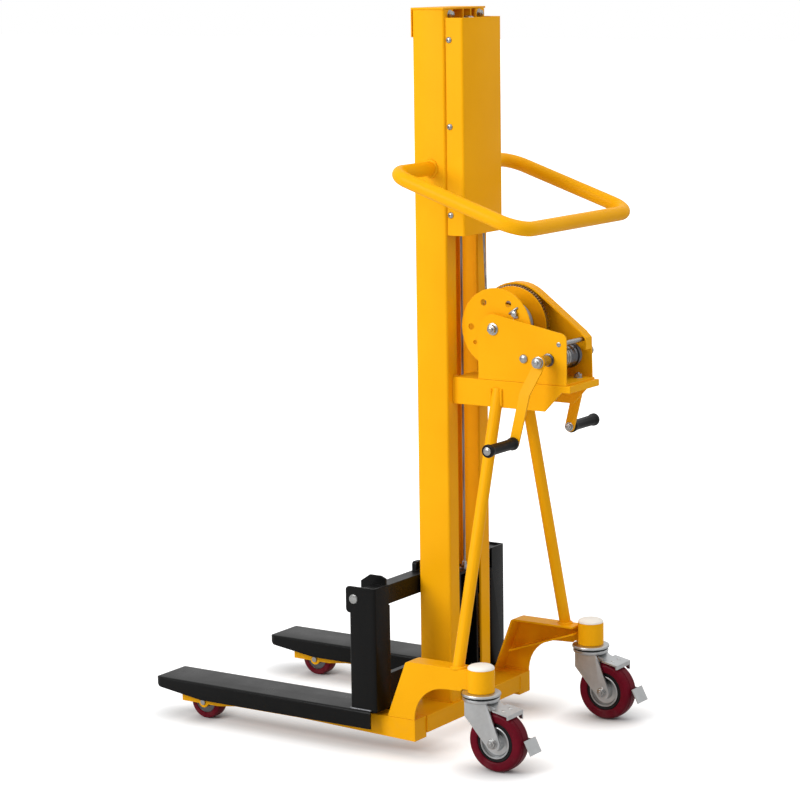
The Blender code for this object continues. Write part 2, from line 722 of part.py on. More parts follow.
def make_leg(side, sign, parent):
    """One straddle leg: a channel that opens downwards, slotted for the load wheel."""
    outline = [
        (LEG_REAR_Y, LEG_REAR_BOTTOM), (LEG_REAR_Y, LEG_TOP), (LEG_NOSE_Y, LEG_TOP),
        (LEG_TIP_Y, LEG_TIP_TOP), (LEG_TIP_Y, LEG_TIP_BOTTOM), (LEG_TIP_START_Y, LEG_TIP_BOTTOM),
        (LEG_BEND_Y, LEG_BOTTOM), (LEG_MIDDLE_Y, LEG_BOTTOM),
    ]
    low, high = LEG_INNER_X, LEG_OUTER_X
    wall = LEG_WALL
    axle = (0.0, LOAD_WHEEL_Y, LOAD_WHEEL_RADIUS)
    shape = joined(prism(outline, "x", low, high), rod(axle, X_AXIS, low, high, LEG_LUG_RADIUS, 20))
    under_top = [
        (LEG_REAR_Y - wall, 0.0), (LEG_REAR_Y - wall, LEG_TOP - wall), (LEG_NOSE_Y, LEG_TOP - wall),
        (LEG_TIP_Y + wall, LEG_TIP_TOP - wall), (LEG_TIP_Y + wall, 0.0),
    ]
    hollow = prism(under_top, "x", low + wall, high - wall)
    reach = LOAD_WHEEL_RADIUS + 0.0045
    slot = box((low + wall, LOAD_WHEEL_Y - reach, 0.0), (high - wall, LOAD_WHEEL_Y + reach, LEG_TOP + wall))
    hole = rod(axle, X_AXIS, 0.1, 0.3, LOAD_AXLE_RADIUS + SEAT_GAP, 20)
    shape = cut(shape, hollow, slot, hole)
    piece(f"leg_{side}", mirrored(shape, sign), "yellow_paint", YELLOW_PAINT, parent)


def make_load_wheel(side, sign, parent):
    """The load wheel with its hub, and the pin that it runs on."""
    centre = (sign * LEG_CENTRE_X, LOAD_WHEEL_Y, LOAD_WHEEL_RADIUS)
    half = LOAD_WHEEL_HALF_WIDTH
    radius = LOAD_WHEEL_RADIUS
    bore = LOAD_AXLE_RADIUS + SEAT_GAP
    room = (LEG_OUTER_X - LEG_INNER_X) / 2.0 - LEG_WALL
    hub = room - RUN_GAP
    profile = [(-hub, bore), (-hub, 0.0120), (-half + 0.002, 0.0130), (-half + 0.002, 0.0240)]
    profile += [(-half, 0.0250), (-half, radius - 0.003), (-half + 0.003, radius)]
    profile += [(-along, distance) for along, distance in reversed(profile)]
    wheel = turned(profile, centre, X_AXIS, 24)
    piece(f"load_wheel_{side}", wheel, "wheel_tread", TREAD, parent, origin=centre)
    end = (LEG_OUTER_X - LEG_INNER_X) / 2.0 + LOAD_AXLE_END
    shape = rod(centre, X_AXIS, -end, end, LOAD_AXLE_RADIUS, 20)
    piece(f"load_axle_{side}", shape, "steel", STEEL, parent, origin=centre)


def make_crossbeam(parent):
    """The box beam between the legs, which the mast stands on. Its ends are open."""
    half = LEG_INNER_X - SEAT_GAP
    low = (-half, CROSSBEAM_FRONT_Y, CROSSBEAM_BOTTOM)
    high = (half, CROSSBEAM_REAR_Y, LEG_TOP)
    wall = CROSSBEAM_WALL
    inside = box(
        (-half - wall, low[1] + wall, low[2] + wall), (half + wall, high[1] - wall, high[2] - wall)
    )
    piece("crossbeam", cut(box(low, high), inside), "yellow_paint", YELLOW_PAINT, parent)


def make_bracket(side, sign, parent):
    """A side bracket: plate, top and front flanges, inner gusset, and the caster's tube."""
    wall = BRACKET_WALL
    foot = LEG_TOP + SEAT_GAP
    rear = CASTER_Y - CASTER_TUBE_RADIUS + 0.0025
    inner_x = LEG_OUTER_X - BRACKET_FLANGE
    front_foot = (BRACKET_FRONT_FOOT_Y, foot)
    front_head = (BRACKET_FRONT_TOP_Y, BRACKET_TOP - BRACKET_CORNER / 3.0)
    shoulder = (BRACKET_FRONT_TOP_Y + BRACKET_CORNER, BRACKET_TOP)
    arch_centre = (ARCH_REAR_Y + ARCH_RADIUS, ARCH_TOP - ARCH_RADIUS)
    outline = [front_foot, (ARCH_REAR_Y, foot)]
    outline += arc(arch_centre, ARCH_RADIUS, 176, 90, 9)
    ring_front = CASTER_Y - CASTER_RING_RADIUS - 0.0015
    outline += [(ring_front - 0.004, ARCH_TOP + 0.0015), (ring_front, CASTER_TUBE_BOTTOM)]
    outline += [(rear, CASTER_TUBE_BOTTOM), (rear, BRACKET_TOP), shoulder, front_head]
    shape = prism(outline, "x", inner_x, LEG_OUTER_X)
    lean = math.atan2(front_head[1] - front_foot[1], front_head[0] - front_foot[0])
    back = wall / math.sin(lean)
    below = 0.05
    hollow = prism(
        [
            (front_foot[0] + back - below / math.tan(lean), foot - below),
            (front_head[0] + back, front_head[1] - wall), (shoulder[0], BRACKET_TOP - wall),
            (rear + below, BRACKET_TOP - wall), (rear + below, foot - below),
        ],
        "x", inner_x - below, LEG_OUTER_X - wall,
    )
    shape = cut(shape, hollow)
    gusset = prism(
        [
            GUSSET_FRONT, (GUSSET_FRONT[0], GUSSET_FRONT[1] - wall),
            (rear - 0.001, GUSSET_REAR_Z - wall), (rear - 0.001, GUSSET_REAR_Z),
        ],
        "x", LEG_OUTER_X - wall - GUSSET_WIDTH, LEG_OUTER_X - wall / 2.0,
    )
    centre = (CASTER_X, CASTER_Y, 0.0)
    tube = rod(centre, Z_AXIS, CASTER_TUBE_BOTTOM, CASTER_TUBE_TOP, CASTER_TUBE_RADIUS, 24)
    bore = rod(centre, Z_AXIS, 0.1, 0.3, CASTER_STEM_RADIUS + SEAT_GAP, 24)
    shape = cut(joined(shape, gusset, tube), bore)
    piece(f"side_bracket_{side}", mirrored(shape, sign), "yellow_paint", YELLOW_PAINT, parent)
    base = CASTER_TUBE_TOP + SEAT_GAP
    edge = CASTER_TUBE_RADIUS - 0.0005
    plug = CASTER_STEM_RADIUS
    profile = [(base - CASTER_CAP_PLUG, 0.0), (base - CASTER_CAP_PLUG, plug), (base, plug), (base, edge)]
    profile += [(base + CASTER_CAP_HEIGHT * 0.5, edge), (base + CASTER_CAP_HEIGHT * 0.85, edge * 0.8)]
    profile += [(base + CASTER_CAP_HEIGHT, edge * 0.4), (base + CASTER_CAP_HEIGHT, 0.0)]
    cap = turned(profile, (sign * CASTER_X, CASTER_Y, 0.0), Z_AXIS, 24)
    piece(f"stem_cap_{side}", cap, "white_plastic", WHITE_PLASTIC, parent, smooth_below=40.0)


def make_strut(side, sign, parent):
    """A slanted tube from the platform's side down to the side bracket, notched round the platform."""
    bottom_z = BRACKET_TOP + SEAT_GAP
    slope = (STRUT_BOTTOM_X - STRUT_TOP_X) / (STRUT_TOP_Z - bottom_z)
    reach = 0.03
    low = Vector((STRUT_BOTTOM_X + slope * reach, STRUT_Y, bottom_z - reach))
    high = Vector((STRUT_TOP_X - slope * reach, STRUT_Y, STRUT_TOP_Z + reach))
    axis = (high - low).normalized()
    length = (high - low).length
    inner = STRUT_RADIUS - STRUT_WALL
    ring = [(0.0, inner), (0.0, STRUT_RADIUS), (length, STRUT_RADIUS), (length, inner)]
    tube = turned(ring, low, axis, 24)
    face = PLATFORM_HALF_WIDTH + SEAT_GAP
    notch = PLATFORM_BOTTOM - SEAT_GAP
    front, rear = STRUT_Y - 0.05, STRUT_Y + 0.05
    keep = prism(
        [
            (0.0, bottom_z), (0.3, bottom_z), (0.3, STRUT_TOP_Z),
            (face, STRUT_TOP_Z), (face, notch), (0.0, notch),
        ],
        "y", front, rear,
    )
    shape = combine(tube, keep, "INTERSECT")
    piece(f"strut_{side}", mirrored(shape, sign), "yellow_paint", YELLOW_PAINT, parent)


def make_caster(side, sign, parent):
    """A braked swivel caster: head, swivel fork with its tab, axle, wheel with hub, brake lever."""
    stem = Vector((CASTER_X, CASTER_Y, 0.0))
    stem_origin = (sign * CASTER_X, CASTER_Y, 0.0)
    wheel_y = CASTER_Y + CASTER_TRAIL
    wheel_z = CASTER_WHEEL_RADIUS
    axle_centre = (CASTER_X, wheel_y, wheel_z)
    axle_origin = (sign * CASTER_X, wheel_y, wheel_z)
    ring = CASTER_RING_RADIUS
    top = CASTER_HEAD_Z
    low = top - CASTER_RING_HEIGHT
    bevel = CASTER_RING_BEVEL
    profile = [(low, 0.0), (low, ring - bevel), (low + bevel, ring), (top - bevel, ring)]
    profile += [(top, ring - bevel * 2.0), (top, CASTER_STEM_RADIUS), (CASTER_STEM_TOP, CASTER_STEM_RADIUS)]
    profile += [(CASTER_STEM_TOP, 0.0)]
    head = moved_across(turned(profile, stem, Z_AXIS, 24), sign)
    piece(f"caster_head_{side}", head, "zinc", ZINC, parent, origin=stem_origin)

    high = CASTER_FORK_Z
    low = high - CASTER_CROWN_HEIGHT
    crown = CASTER_CROWN_RADIUS
    edge = CASTER_CROWN_EDGE
    profile = [(low, 0.0), (low, crown * 0.94), (low + edge, crown), (high - bevel, crown)]
    profile += [(high, crown - bevel), (high, 0.0)]
    fork = turned(profile, stem, Z_AXIS, 24)
    leg_top = low + edge
    half = CASTER_LEG_TOP_HALF
    leg = [(CASTER_Y + half, leg_top), (CASTER_Y - half, leg_top)]
    leg += [(CASTER_Y - half, leg_top - CASTER_LEG_FRONT_DROP)]
    leg += arc((wheel_y, wheel_z), CASTER_LEG_END_RADIUS, 205, 372, 10)
    leg += [(CASTER_Y + half + CASTER_LEG_REAR_STEP, leg_top - CASTER_LEG_REAR_DROP)]
    for hand in (1.0, -1.0):
        near, far = span(hand, CASTER_LEG_GAP, CASTER_LEG_GAP + CASTER_LEG_WALL)
        fork = joined(fork, prism(leg, "x", stem.x + near, stem.x + far))
    fork = joined(fork, caster_tab(stem.x, low))
    hole = rod(axle_centre, X_AXIS, -0.05, 0.05, CASTER_AXLE_RADIUS + SEAT_GAP)
    fork = moved_across(cut(fork, hole), sign)
    piece(f"caster_fork_{side}", fork, "zinc", ZINC, parent, origin=stem_origin)

    leg_outer = CASTER_LEG_GAP + CASTER_LEG_WALL + SEAT_GAP
    lever_outer = leg_outer + BRAKE_WALL + SEAT_GAP
    pin = CASTER_AXLE_RADIUS
    nut = CASTER_NUT_RADIUS
    height = CASTER_NUT_HEIGHT
    profile = [(-lever_outer - height, 0.0), (-lever_outer - height, nut), (-lever_outer, nut)]
    profile += [(-lever_outer, pin), (leg_outer, pin), (leg_outer, nut), (leg_outer + height, nut)]
    profile += [(leg_outer + height, 0.0)]
    axle = moved_across(turned(profile, axle_centre, X_AXIS, 18), sign)
    piece(f"caster_axle_{side}", axle, "steel", STEEL, parent, origin=axle_origin)

    hub = CASTER_HUB_RADIUS
    half = CASTER_WHEEL_HALF_WIDTH
    bore = pin + SEAT_GAP
    boss = CASTER_HUB_BOSS
    web = CASTER_HUB_WEB
    rim = CASTER_HUB_RIM
    room = CASTER_LEG_GAP - RUN_GAP
    inset = half - CASTER_TREAD_CORNER
    profile = [(room, bore), (room, boss), (web, boss + web), (web, hub - rim)]
    profile += [(inset, hub - web), (inset, hub)]
    profile += [(-along, radius) for along, radius in reversed(profile)]
    core = moved_across(turned(profile, axle_centre, X_AXIS, 24), sign)
    piece(f"caster_hub_{side}", core, "zinc", ZINC, parent, origin=axle_origin)
    inner = hub + SEAT_GAP
    tyre = CASTER_WHEEL_RADIUS
    profile = [(half, inner), (half, CASTER_WHEEL_SHOULDER)]
    corner = CASTER_TREAD_CORNER
    profile += [(inset, tyre - corner), (half - CASTER_TREAD_EDGE, tyre)]
    profile += [(-along, radius) for along, radius in reversed(profile)]
    tread = moved_across(turned(profile, axle_centre, X_AXIS, 40), sign)
    piece(f"caster_tyre_{side}", tread, "wheel_tread", TREAD, parent, origin=axle_origin)

    lever = moved_across(brake_lever(axle_centre, leg_outer), sign)
    piece(f"caster_brake_{side}", lever, "zinc", ZINC, parent, origin=axle_origin)


def caster_tab(x, crown_low):
    """The pressed tab behind a caster's crown: neck, sloping plate, rear lip and one deep cheek."""
    wall = CASTER_TAB_WALL
    half = CASTER_TAB_HALF_WIDTH
    start = CASTER_Y + CASTER_CROWN_RADIUS * 0.5
    front = (CASTER_Y + CASTER_TAB_FRONT_Y, CASTER_TAB_FRONT_Z)
    rear = (CASTER_Y + CASTER_TAB_REAR_Y, CASTER_TAB_REAR_Z)
    root = crown_low + wall * 0.6
    neck = [
        (start, root), (start, root - wall), (front[0] - wall, front[1] - wall),
        (front[0] + wall, front[1] - wall), (front[0] + wall, front[1] - wall * 0.3), (front[0], front[1]),
    ]
    lip_low = rear[1] - wall - CASTER_TAB_LIP
    plate = [
        front, (front[0], front[1] - wall), (rear[0] - wall, rear[1] - wall),
        (rear[0] - wall, lip_low), (rear[0], lip_low), rear,
    ]
    slope = (front[1] - rear[1]) / (rear[0] - front[0])
    cheek_front = CASTER_Y + CASTER_TAB_CHEEK_FRONT_Y
    cheek_top = front[1] - slope * (cheek_front - front[0]) - wall / 2.0
    cheek = [
        (cheek_front, cheek_top), (rear[0] - wall * 2.0, rear[1] - CASTER_TAB_CHEEK_DROP),
        (rear[0], rear[1] - CASTER_TAB_CHEEK_DROP), (rear[0], rear[1] - wall / 2.0),
    ]
    shape = prism(neck, "x", x - CASTER_TAB_NECK_HALF_WIDTH, x + CASTER_TAB_NECK_HALF_WIDTH)
    shape = joined(shape, prism(plate, "x", x - half, x + half))
    return joined(shape, prism(cheek, "x", x - half, x - half + wall))


def brake_lever(axle, leg_outer):
    """A pressed lever: a ring on the axle, an arm beside the wheel and a pedal behind it."""
    x, y, z = axle
    far = x - leg_outer - BRAKE_WALL
    near = x - leg_outer
    half = BRAKE_ARM_HALF
    ring = BRAKE_RING_RADIUS
    front = y + BRAKE_PEDAL_FRONT
    rear = y + BRAKE_PEDAL_REAR
    wall = BRAKE_WALL
    rise = BRAKE_PEDAL_RISE
    drop = BRAKE_PEDAL_DROP
    lean = math.atan2(rise + drop, rear - wall - front)
    across = Vector((math.sin(lean), math.cos(lean))) * wall
    top = Vector((front, z + rise))
    foot = Vector((rear - across.x, z - drop))
    pedal = [tuple(point) for point in (top, top + across, foot + across, foot)]
    arm = arc((y, z), ring, 40, 320, 14)
    arm += [(front + wall, z - half), (front + wall, z + half)]
    plate = prism(arm, "x", far, near)
    shape = joined(plate, prism(pedal, "x", far + wall / 3.0, x + BRAKE_PEDAL_HALF_WIDTH))
    hole = rod(axle, X_AXIS, -0.05, 0.05, CASTER_AXLE_RADIUS + SEAT_GAP, 24)
    return cut(shape, hole)


def make_platform(parent):
    """The winch platform: a plate folded down on both sides, with a short lip at its rear."""
    front = MAST_FACE_Y + SEAT_GAP
    half = PLATFORM_HALF_WIDTH
    lip_z = PLATFORM_TOP - PLATFORM_REAR_LIP
    wall = PLATFORM_WALL
    outline = [
        (front, PLATFORM_BOTTOM), (PLATFORM_ARM_END_Y, PLATFORM_BOTTOM), (PLATFORM_LIP_Y, lip_z),
        (PLATFORM_REAR_Y, lip_z), (PLATFORM_REAR_Y, PLATFORM_TOP), (front, PLATFORM_TOP),
    ]
    shape = prism(outline, "x", -half, half)
    hollow = box(
        (-half + wall, front - wall, PLATFORM_BOTTOM - wall),
        (half - wall, PLATFORM_REAR_Y - wall, PLATFORM_TOP - wall),
    )
    piece("winch_platform", cut(shape, hollow), "yellow_paint", YELLOW_PAINT, parent)


def near_plate_outline():
    """The left side plate: round over the drum's axle, then sloping to the rear corner."""
    nose = (DRUM_Y, DRUM_Z)
    radius = WINCH_NOSE_RADIUS
    corner = WINCH_CORNER_RADIUS
    rear = (WINCH_REAR_Y - corner, WINCH_CORNER_Z)
    slope = math.degrees(math.atan2(rear[1] + corner - nose[1] - radius, rear[0] - nose[0]))
    bottom = WINCH_BASE_Z
    outline = [(WINCH_REAR_Y, bottom)]
    outline += arc(rear, corner, 0, 90 + slope, 4)
    outline += arc(nose, radius, 90 + slope, 172, 7)
    outline += [(WINCH_FRONT_Y, DRUM_Z - radius), (WINCH_FRONT_Y, bottom)]
    return outline


def touch_angle(centre, radius, point):
    """The angle on a circle, in degrees, where the upper tangent from a point touches it."""
    bearing = math.degrees(math.atan2(point[1] - centre[1], point[0] - centre[0]))
    return bearing + math.degrees(math.acos(radius / math.dist(centre, point)))


def make_winch_frame(parent):
    """The winch frame: base, two side plates, and the guard along the right plate's upper edge."""
    bottom = WINCH_BASE_Z
    wall = WINCH_WALL
    half = WINCH_HALF_WIDTH
    base = box((-half, WINCH_FRONT_Y, bottom), (half, WINCH_REAR_Y, bottom + wall))
    near = prism(near_plate_outline(), "x", WINCH_INNER_X, half)

    nose = (DRUM_Y, DRUM_Z)
    outer = WINCH_GUARD_RADIUS
    inner = outer - wall
    corner = WINCH_GUARD_CORNER
    touch = touch_angle(nose, outer, corner)
    front_angle = math.degrees(math.acos((WINCH_GUARD_FRONT_Y - DRUM_Y) / outer))
    crest = arc(nose, outer, touch, front_angle, 8)
    lower_corner = (corner[0] + WINCH_GUARD_CORNER_DROP, corner[1] - WINCH_GUARD_CORNER_DROP)
    far_outline = [(WINCH_REAR_Y - 0.004, bottom), lower_corner, corner] + crest
    far_outline += [(WINCH_GUARD_FRONT_Y, bottom)]
    far = prism(far_outline, "x", -half, -WINCH_INNER_X)

    across = math.radians(touch)
    below = (corner[0] - math.cos(across) * wall, corner[1] - math.sin(across) * wall)
    tab_bottom = lower_corner[1] - WINCH_GUARD_TAB
    guard_outline = [(lower_corner[0], tab_bottom), lower_corner, corner]
    guard_outline += crest + arc(nose, inner, front_angle, touch, 8)
    guard_outline += [below, (lower_corner[0] - wall, lower_corner[1] - wall / 2.0)]
    guard_outline += [(lower_corner[0] - wall, tab_bottom)]
    guard = prism(guard_outline, "x", -half, -half + WINCH_GUARD_WIDTH)

    shape = joined(base, near, far, guard)
    shafts = [
        (DRUM_Y, DRUM_Z, DRUM_AXLE_RADIUS),
        (IDLER_Y, IDLER_Z, IDLER_SHAFT_RADIUS),
        (CRANK_Y, CRANK_Z, CRANK_SHAFT_RADIUS),
        (SPACER_Y, SPACER_Z, SPACER_RADIUS),
    ]
    for y, z, radius in shafts:
        shape = cut(shape, rod((0.0, y, z), X_AXIS, -0.1, 0.1, radius + SEAT_GAP, 18))
    piece("winch_frame", shape, "yellow_paint", YELLOW_PAINT, parent)


def make_drum(parent):
    """The drum with its two flanges, its gear, its axle, the wound rope and the rope's clamp."""
    centre = (0.0, DRUM_Y, DRUM_Z)
    wall = DRUM_FLANGE_WALL
    rim = DRUM_FLANGE_RADIUS
    far_rim = DRUM_FAR_FLANGE_RADIUS
    barrel = DRUM_BARREL_RADIUS
    hollow = barrel - DRUM_BARREL_WALL
    hub = DRUM_HUB_RADIUS
    bore = DRUM_AXLE_RADIUS + SEAT_GAP
    near, far = DRUM_NEAR_X, DRUM_FAR_X
    profile = [(near, bore), (near, rim - 0.001), (near - 0.001, rim), (near - wall, rim)]
    profile += [(near - wall, barrel), (far + wall, barrel), (far + wall, far_rim), (far, far_rim)]
    profile += [(far, hollow), (near - wall, hollow), (near - wall, hub), (far, hub), (far, bore)]
    shape = turned(profile, centre, X_AXIS, 32)
    step = FULL_TURN / DRUM_HOLE_COUNT
    holes = [(DRUM_HOLE_CIRCLE, step * index, DRUM_HOLE_RADIUS) for index in range(DRUM_HOLE_COUNT)]
    holes.append((DRUM_HOLE_CIRCLE, DRUM_ROPE_HOLE_ANGLE, DRUM_ROPE_HOLE_RADIUS))
    holes.append((CLAMP_CIRCLE, CLAMP_ANGLE, CLAMP_BOLT_RADIUS + SEAT_GAP))
    for distance, angle, radius in holes:
        y = DRUM_Y + distance * math.cos(angle)
        z = DRUM_Z + distance * math.sin(angle)
        shape = cut(shape, rod((0.0, y, z), X_AXIS, near - 0.01, near + 0.01, radius, 12))
    piece("winch_drum", shape, "yellow_paint", YELLOW_PAINT, parent, origin=centre)

    clamp_y = DRUM_Y + CLAMP_CIRCLE * math.cos(CLAMP_ANGLE)
    clamp_z = DRUM_Z + CLAMP_CIRCLE * math.sin(CLAMP_ANGLE)
    bar_low = near + SEAT_GAP
    bar = box(
        (bar_low, -CLAMP_BAR_LENGTH / 2.0, -CLAMP_BAR_WIDTH / 2.0),
        (bar_low + 0.003, CLAMP_BAR_LENGTH / 2.0, CLAMP_BAR_WIDTH / 2.0),
    )
    turn = Matrix.Rotation(CLAMP_ANGLE + math.radians(75.0), 4, X_AXIS)
    bmesh.ops.transform(bar, matrix=Matrix.Translation((0.0, clamp_y, clamp_z)) @ turn, verts=bar.verts)
    bolt = rod((0.0, clamp_y, clamp_z), X_AXIS, near - wall - 0.003, bar_low + 0.0065, CLAMP_BOLT_RADIUS, 12)
    piece("rope_clamp", joined(bar, bolt), "steel", STEEL, parent, origin=centre)

    gear = prism(
        gear_outline(DRUM_GEAR_TEETH, GEAR_ADDENDUM, (DRUM_Y, DRUM_Z), IDLER_DIRECTION),
        "x", DRUM_GEAR_X - DRUM_GEAR_WIDTH, DRUM_GEAR_X,
    )
    gear = cut(gear, rod(centre, X_AXIS, -0.1, 0.1, bore, 32))
    piece("drum_gear", gear, "steel", STEEL, parent, origin=centre)

    coil_low = far + wall + SEAT_GAP
    turns = int(ROPE_COIL_WIDTH / (2.0 * ROPE_RADIUS))
    pitch = ROPE_COIL_WIDTH / turns
    outer = COIL_OUTER_RADIUS
    profile = [(coil_low, COIL_INNER_RADIUS)]
    for index in range(turns):
        start = coil_low + index * pitch
        profile += [(start, outer - ROPE_RADIUS * 0.8), (start + pitch * 0.5, outer)]
    coil_high = coil_low + ROPE_COIL_WIDTH
    profile += [(coil_high, outer - ROPE_RADIUS * 0.8), (coil_high, COIL_INNER_RADIUS)]
    piece("rope_coil", turned(profile, centre, X_AXIS, 32), "wire_rope", ROPE_STEEL, parent, origin=centre)

    face = WINCH_HALF_WIDTH + SEAT_GAP
    pin = DRUM_AXLE_RADIUS
    nut = DRUM_NUT_RADIUS
    end = face + DRUM_NUT_HEIGHT
    profile = [(-end, 0.0), (-end, nut * 0.85), (-face, nut), (-face, pin)]
    profile += [(-along, radius) for along, radius in reversed(profile)]
    piece("drum_axle", turned(profile, centre, X_AXIS, 16), "steel", STEEL, parent, origin=centre)


def make_idler(parent):
    """The idler between crank and drum: a small pinion, its shaft and a large gear in one."""
    centre = (0.0, IDLER_Y, IDLER_Z)
    pinion_teeth = IDLER_PINION_TEETH
    facing = IDLER_DIRECTION + math.pi + math.pi / pinion_teeth
    pinion = prism(
        gear_outline(pinion_teeth, PINION_ADDENDUM, (IDLER_Y, IDLER_Z), facing),
        "x", IDLER_GEAR_X - 0.001, DRUM_GEAR_X,
    )
    gear = prism(
        gear_outline(IDLER_GEAR_TEETH, GEAR_ADDENDUM, (IDLER_Y, IDLER_Z), CRANK_DIRECTION),
        "x", IDLER_GEAR_X - IDLER_GEAR_WIDTH, IDLER_GEAR_X,
    )
    radius = IDLER_SHAFT_RADIUS
    head = IDLER_HEAD_RADIUS
    plate = WINCH_HALF_WIDTH + SEAT_GAP
    profile = [(-plate - IDLER_HEAD_HEIGHT, 0.0), (-plate - IDLER_HEAD_HEIGHT, head), (-plate, head)]
    profile += [(-plate, radius)]
    profile += [(-along, distance) for along, distance in reversed(profile)]
    shaft = turned(profile, centre, X_AXIS, 16)
    piece("idler_gear", joined(shaft, pinion, gear), "steel", STEEL, parent, origin=centre)


def make_crank_shaft(parent):
    """The crank shaft with its pinion and collars, and the brake hub with its ratchet."""
    centre = (0.0, CRANK_Y, CRANK_Z)
    radius = CRANK_SHAFT_RADIUS
    left = CRANK_HUB_X["left"]
    right = CRANK_HUB_X["right"]
    half_bar = CRANK_BAR_WALL / 2.0 + SEAT_GAP
    collar = CRANK_COLLAR_RADIUS
    nut = CRANK_NUT_RADIUS
    plate = WINCH_HALF_WIDTH + SEAT_GAP
    profile = [(-right - half_bar - CRANK_NUT_HEIGHT, 0.0), (-right - half_bar - CRANK_NUT_HEIGHT, nut)]
    profile += [(-right - half_bar, nut), (-right - half_bar, radius), (-right + half_bar, radius)]
    profile += [(-right + half_bar, collar), (-plate, collar), (-plate, radius)]
    profile += [(plate, radius), (plate, collar), (left - half_bar, collar), (left - half_bar, radius)]
    profile += [(left + half_bar, radius), (left + half_bar, nut), (left + half_bar + CRANK_NUT_HEIGHT, nut)]
    profile += [(left + half_bar + CRANK_NUT_HEIGHT, 0.0)]
    shaft = turned(profile, centre, X_AXIS, 18)
    facing = CRANK_DIRECTION + math.pi + math.pi / CRANK_PINION_TEETH
    pinion = prism(
        gear_outline(CRANK_PINION_TEETH, PINION_ADDENDUM, (CRANK_Y, CRANK_Z), facing),
        "x", IDLER_GEAR_X - IDLER_GEAR_WIDTH, IDLER_GEAR_X,
    )
    piece("crank_shaft", joined(shaft, pinion), "steel", STEEL, parent, origin=centre)

    bore = radius + SEAT_GAP
    hub = BRAKE_HUB_RADIUS
    far = BRAKE_HUB_FAR_X
    near = RATCHET_X
    profile = [(far, bore), (far, hub - 0.002), (far + 0.002, hub)]
    pitch = (near - far - 0.004) / BRAKE_HUB_RIBS
    for index in range(BRAKE_HUB_RIBS):
        start = far + 0.002 + index * pitch
        profile += [(start + pitch * 0.6, hub), (start + pitch * 0.8, hub - 0.0015), (start + pitch, hub)]
    profile += [(near + 0.001, hub), (near + 0.001, bore)]
    drum = turned(profile, centre, X_AXIS, 24)
    teeth = []
    root = RATCHET_RADIUS - RATCHET_TOOTH
    for index in range(RATCHET_TEETH):
        start = FULL_TURN * index / RATCHET_TEETH
        for radius, share in ((root, 0.0), (RATCHET_RADIUS, 0.75), (RATCHET_RADIUS, 0.98)):
            angle = start + share * FULL_TURN / RATCHET_TEETH
            teeth.append((CRANK_Y + radius * math.cos(angle), CRANK_Z + radius * math.sin(angle)))
    ratchet = prism(teeth, "x", RATCHET_X, RATCHET_X + RATCHET_WIDTH)
    ratchet = cut(ratchet, rod(centre, X_AXIS, 0.0, 0.1, bore, 24))
    piece("brake_hub", joined(drum, ratchet), "dark_steel", DARK_STEEL, parent, origin=centre)


def make_pawl(parent):
    """The pawl on the spacer rod, its tip just off the ratchet's teeth, and the rod itself."""
    centre = (0.0, SPACER_Y, SPACER_Z)
    outer = SPACER_RADIUS + PAWL_RING
    ring = rod(centre, X_AXIS, RATCHET_X, RATCHET_X + RATCHET_WIDTH, outer, 24)
    reach = math.dist((SPACER_Y, SPACER_Z), (CRANK_Y, CRANK_Z))
    stand_off = RATCHET_RADIUS + PAWL_TIP_GAP + PAWL_TIP_WIDTH / 2.0
    inward = math.atan2(CRANK_Z - SPACER_Z, CRANK_Y - SPACER_Y)
    swing = math.acos((PAWL_LENGTH**2 + reach**2 - stand_off**2) / (2.0 * PAWL_LENGTH * reach))
    angle = inward + swing
    along = Vector((math.cos(angle), math.sin(angle)))
    across = Vector((-along.y, along.x))
    start = Vector((SPACER_Y, SPACER_Z))
    tip = start + along * PAWL_LENGTH
    root = outer * 0.8
    points = [start + across * root, start - across * root]
    points += [tip - across * PAWL_TIP_WIDTH / 2.0, tip + across * PAWL_TIP_WIDTH / 2.0]
    finger = prism([tuple(point) for point in points], "x", RATCHET_X, RATCHET_X + RATCHET_WIDTH)
    shape = cut(joined(ring, finger), rod(centre, X_AXIS, 0.0, 0.1, SPACER_RADIUS + SEAT_GAP, 24))
    piece("pawl", shape, "steel", STEEL, parent, origin=centre)
    spacer = rod(centre, X_AXIS, -WINCH_HALF_WIDTH, WINCH_HALF_WIDTH, SPACER_RADIUS, 24)
    piece("spacer_rod", spacer, "steel", STEEL, parent, origin=centre)


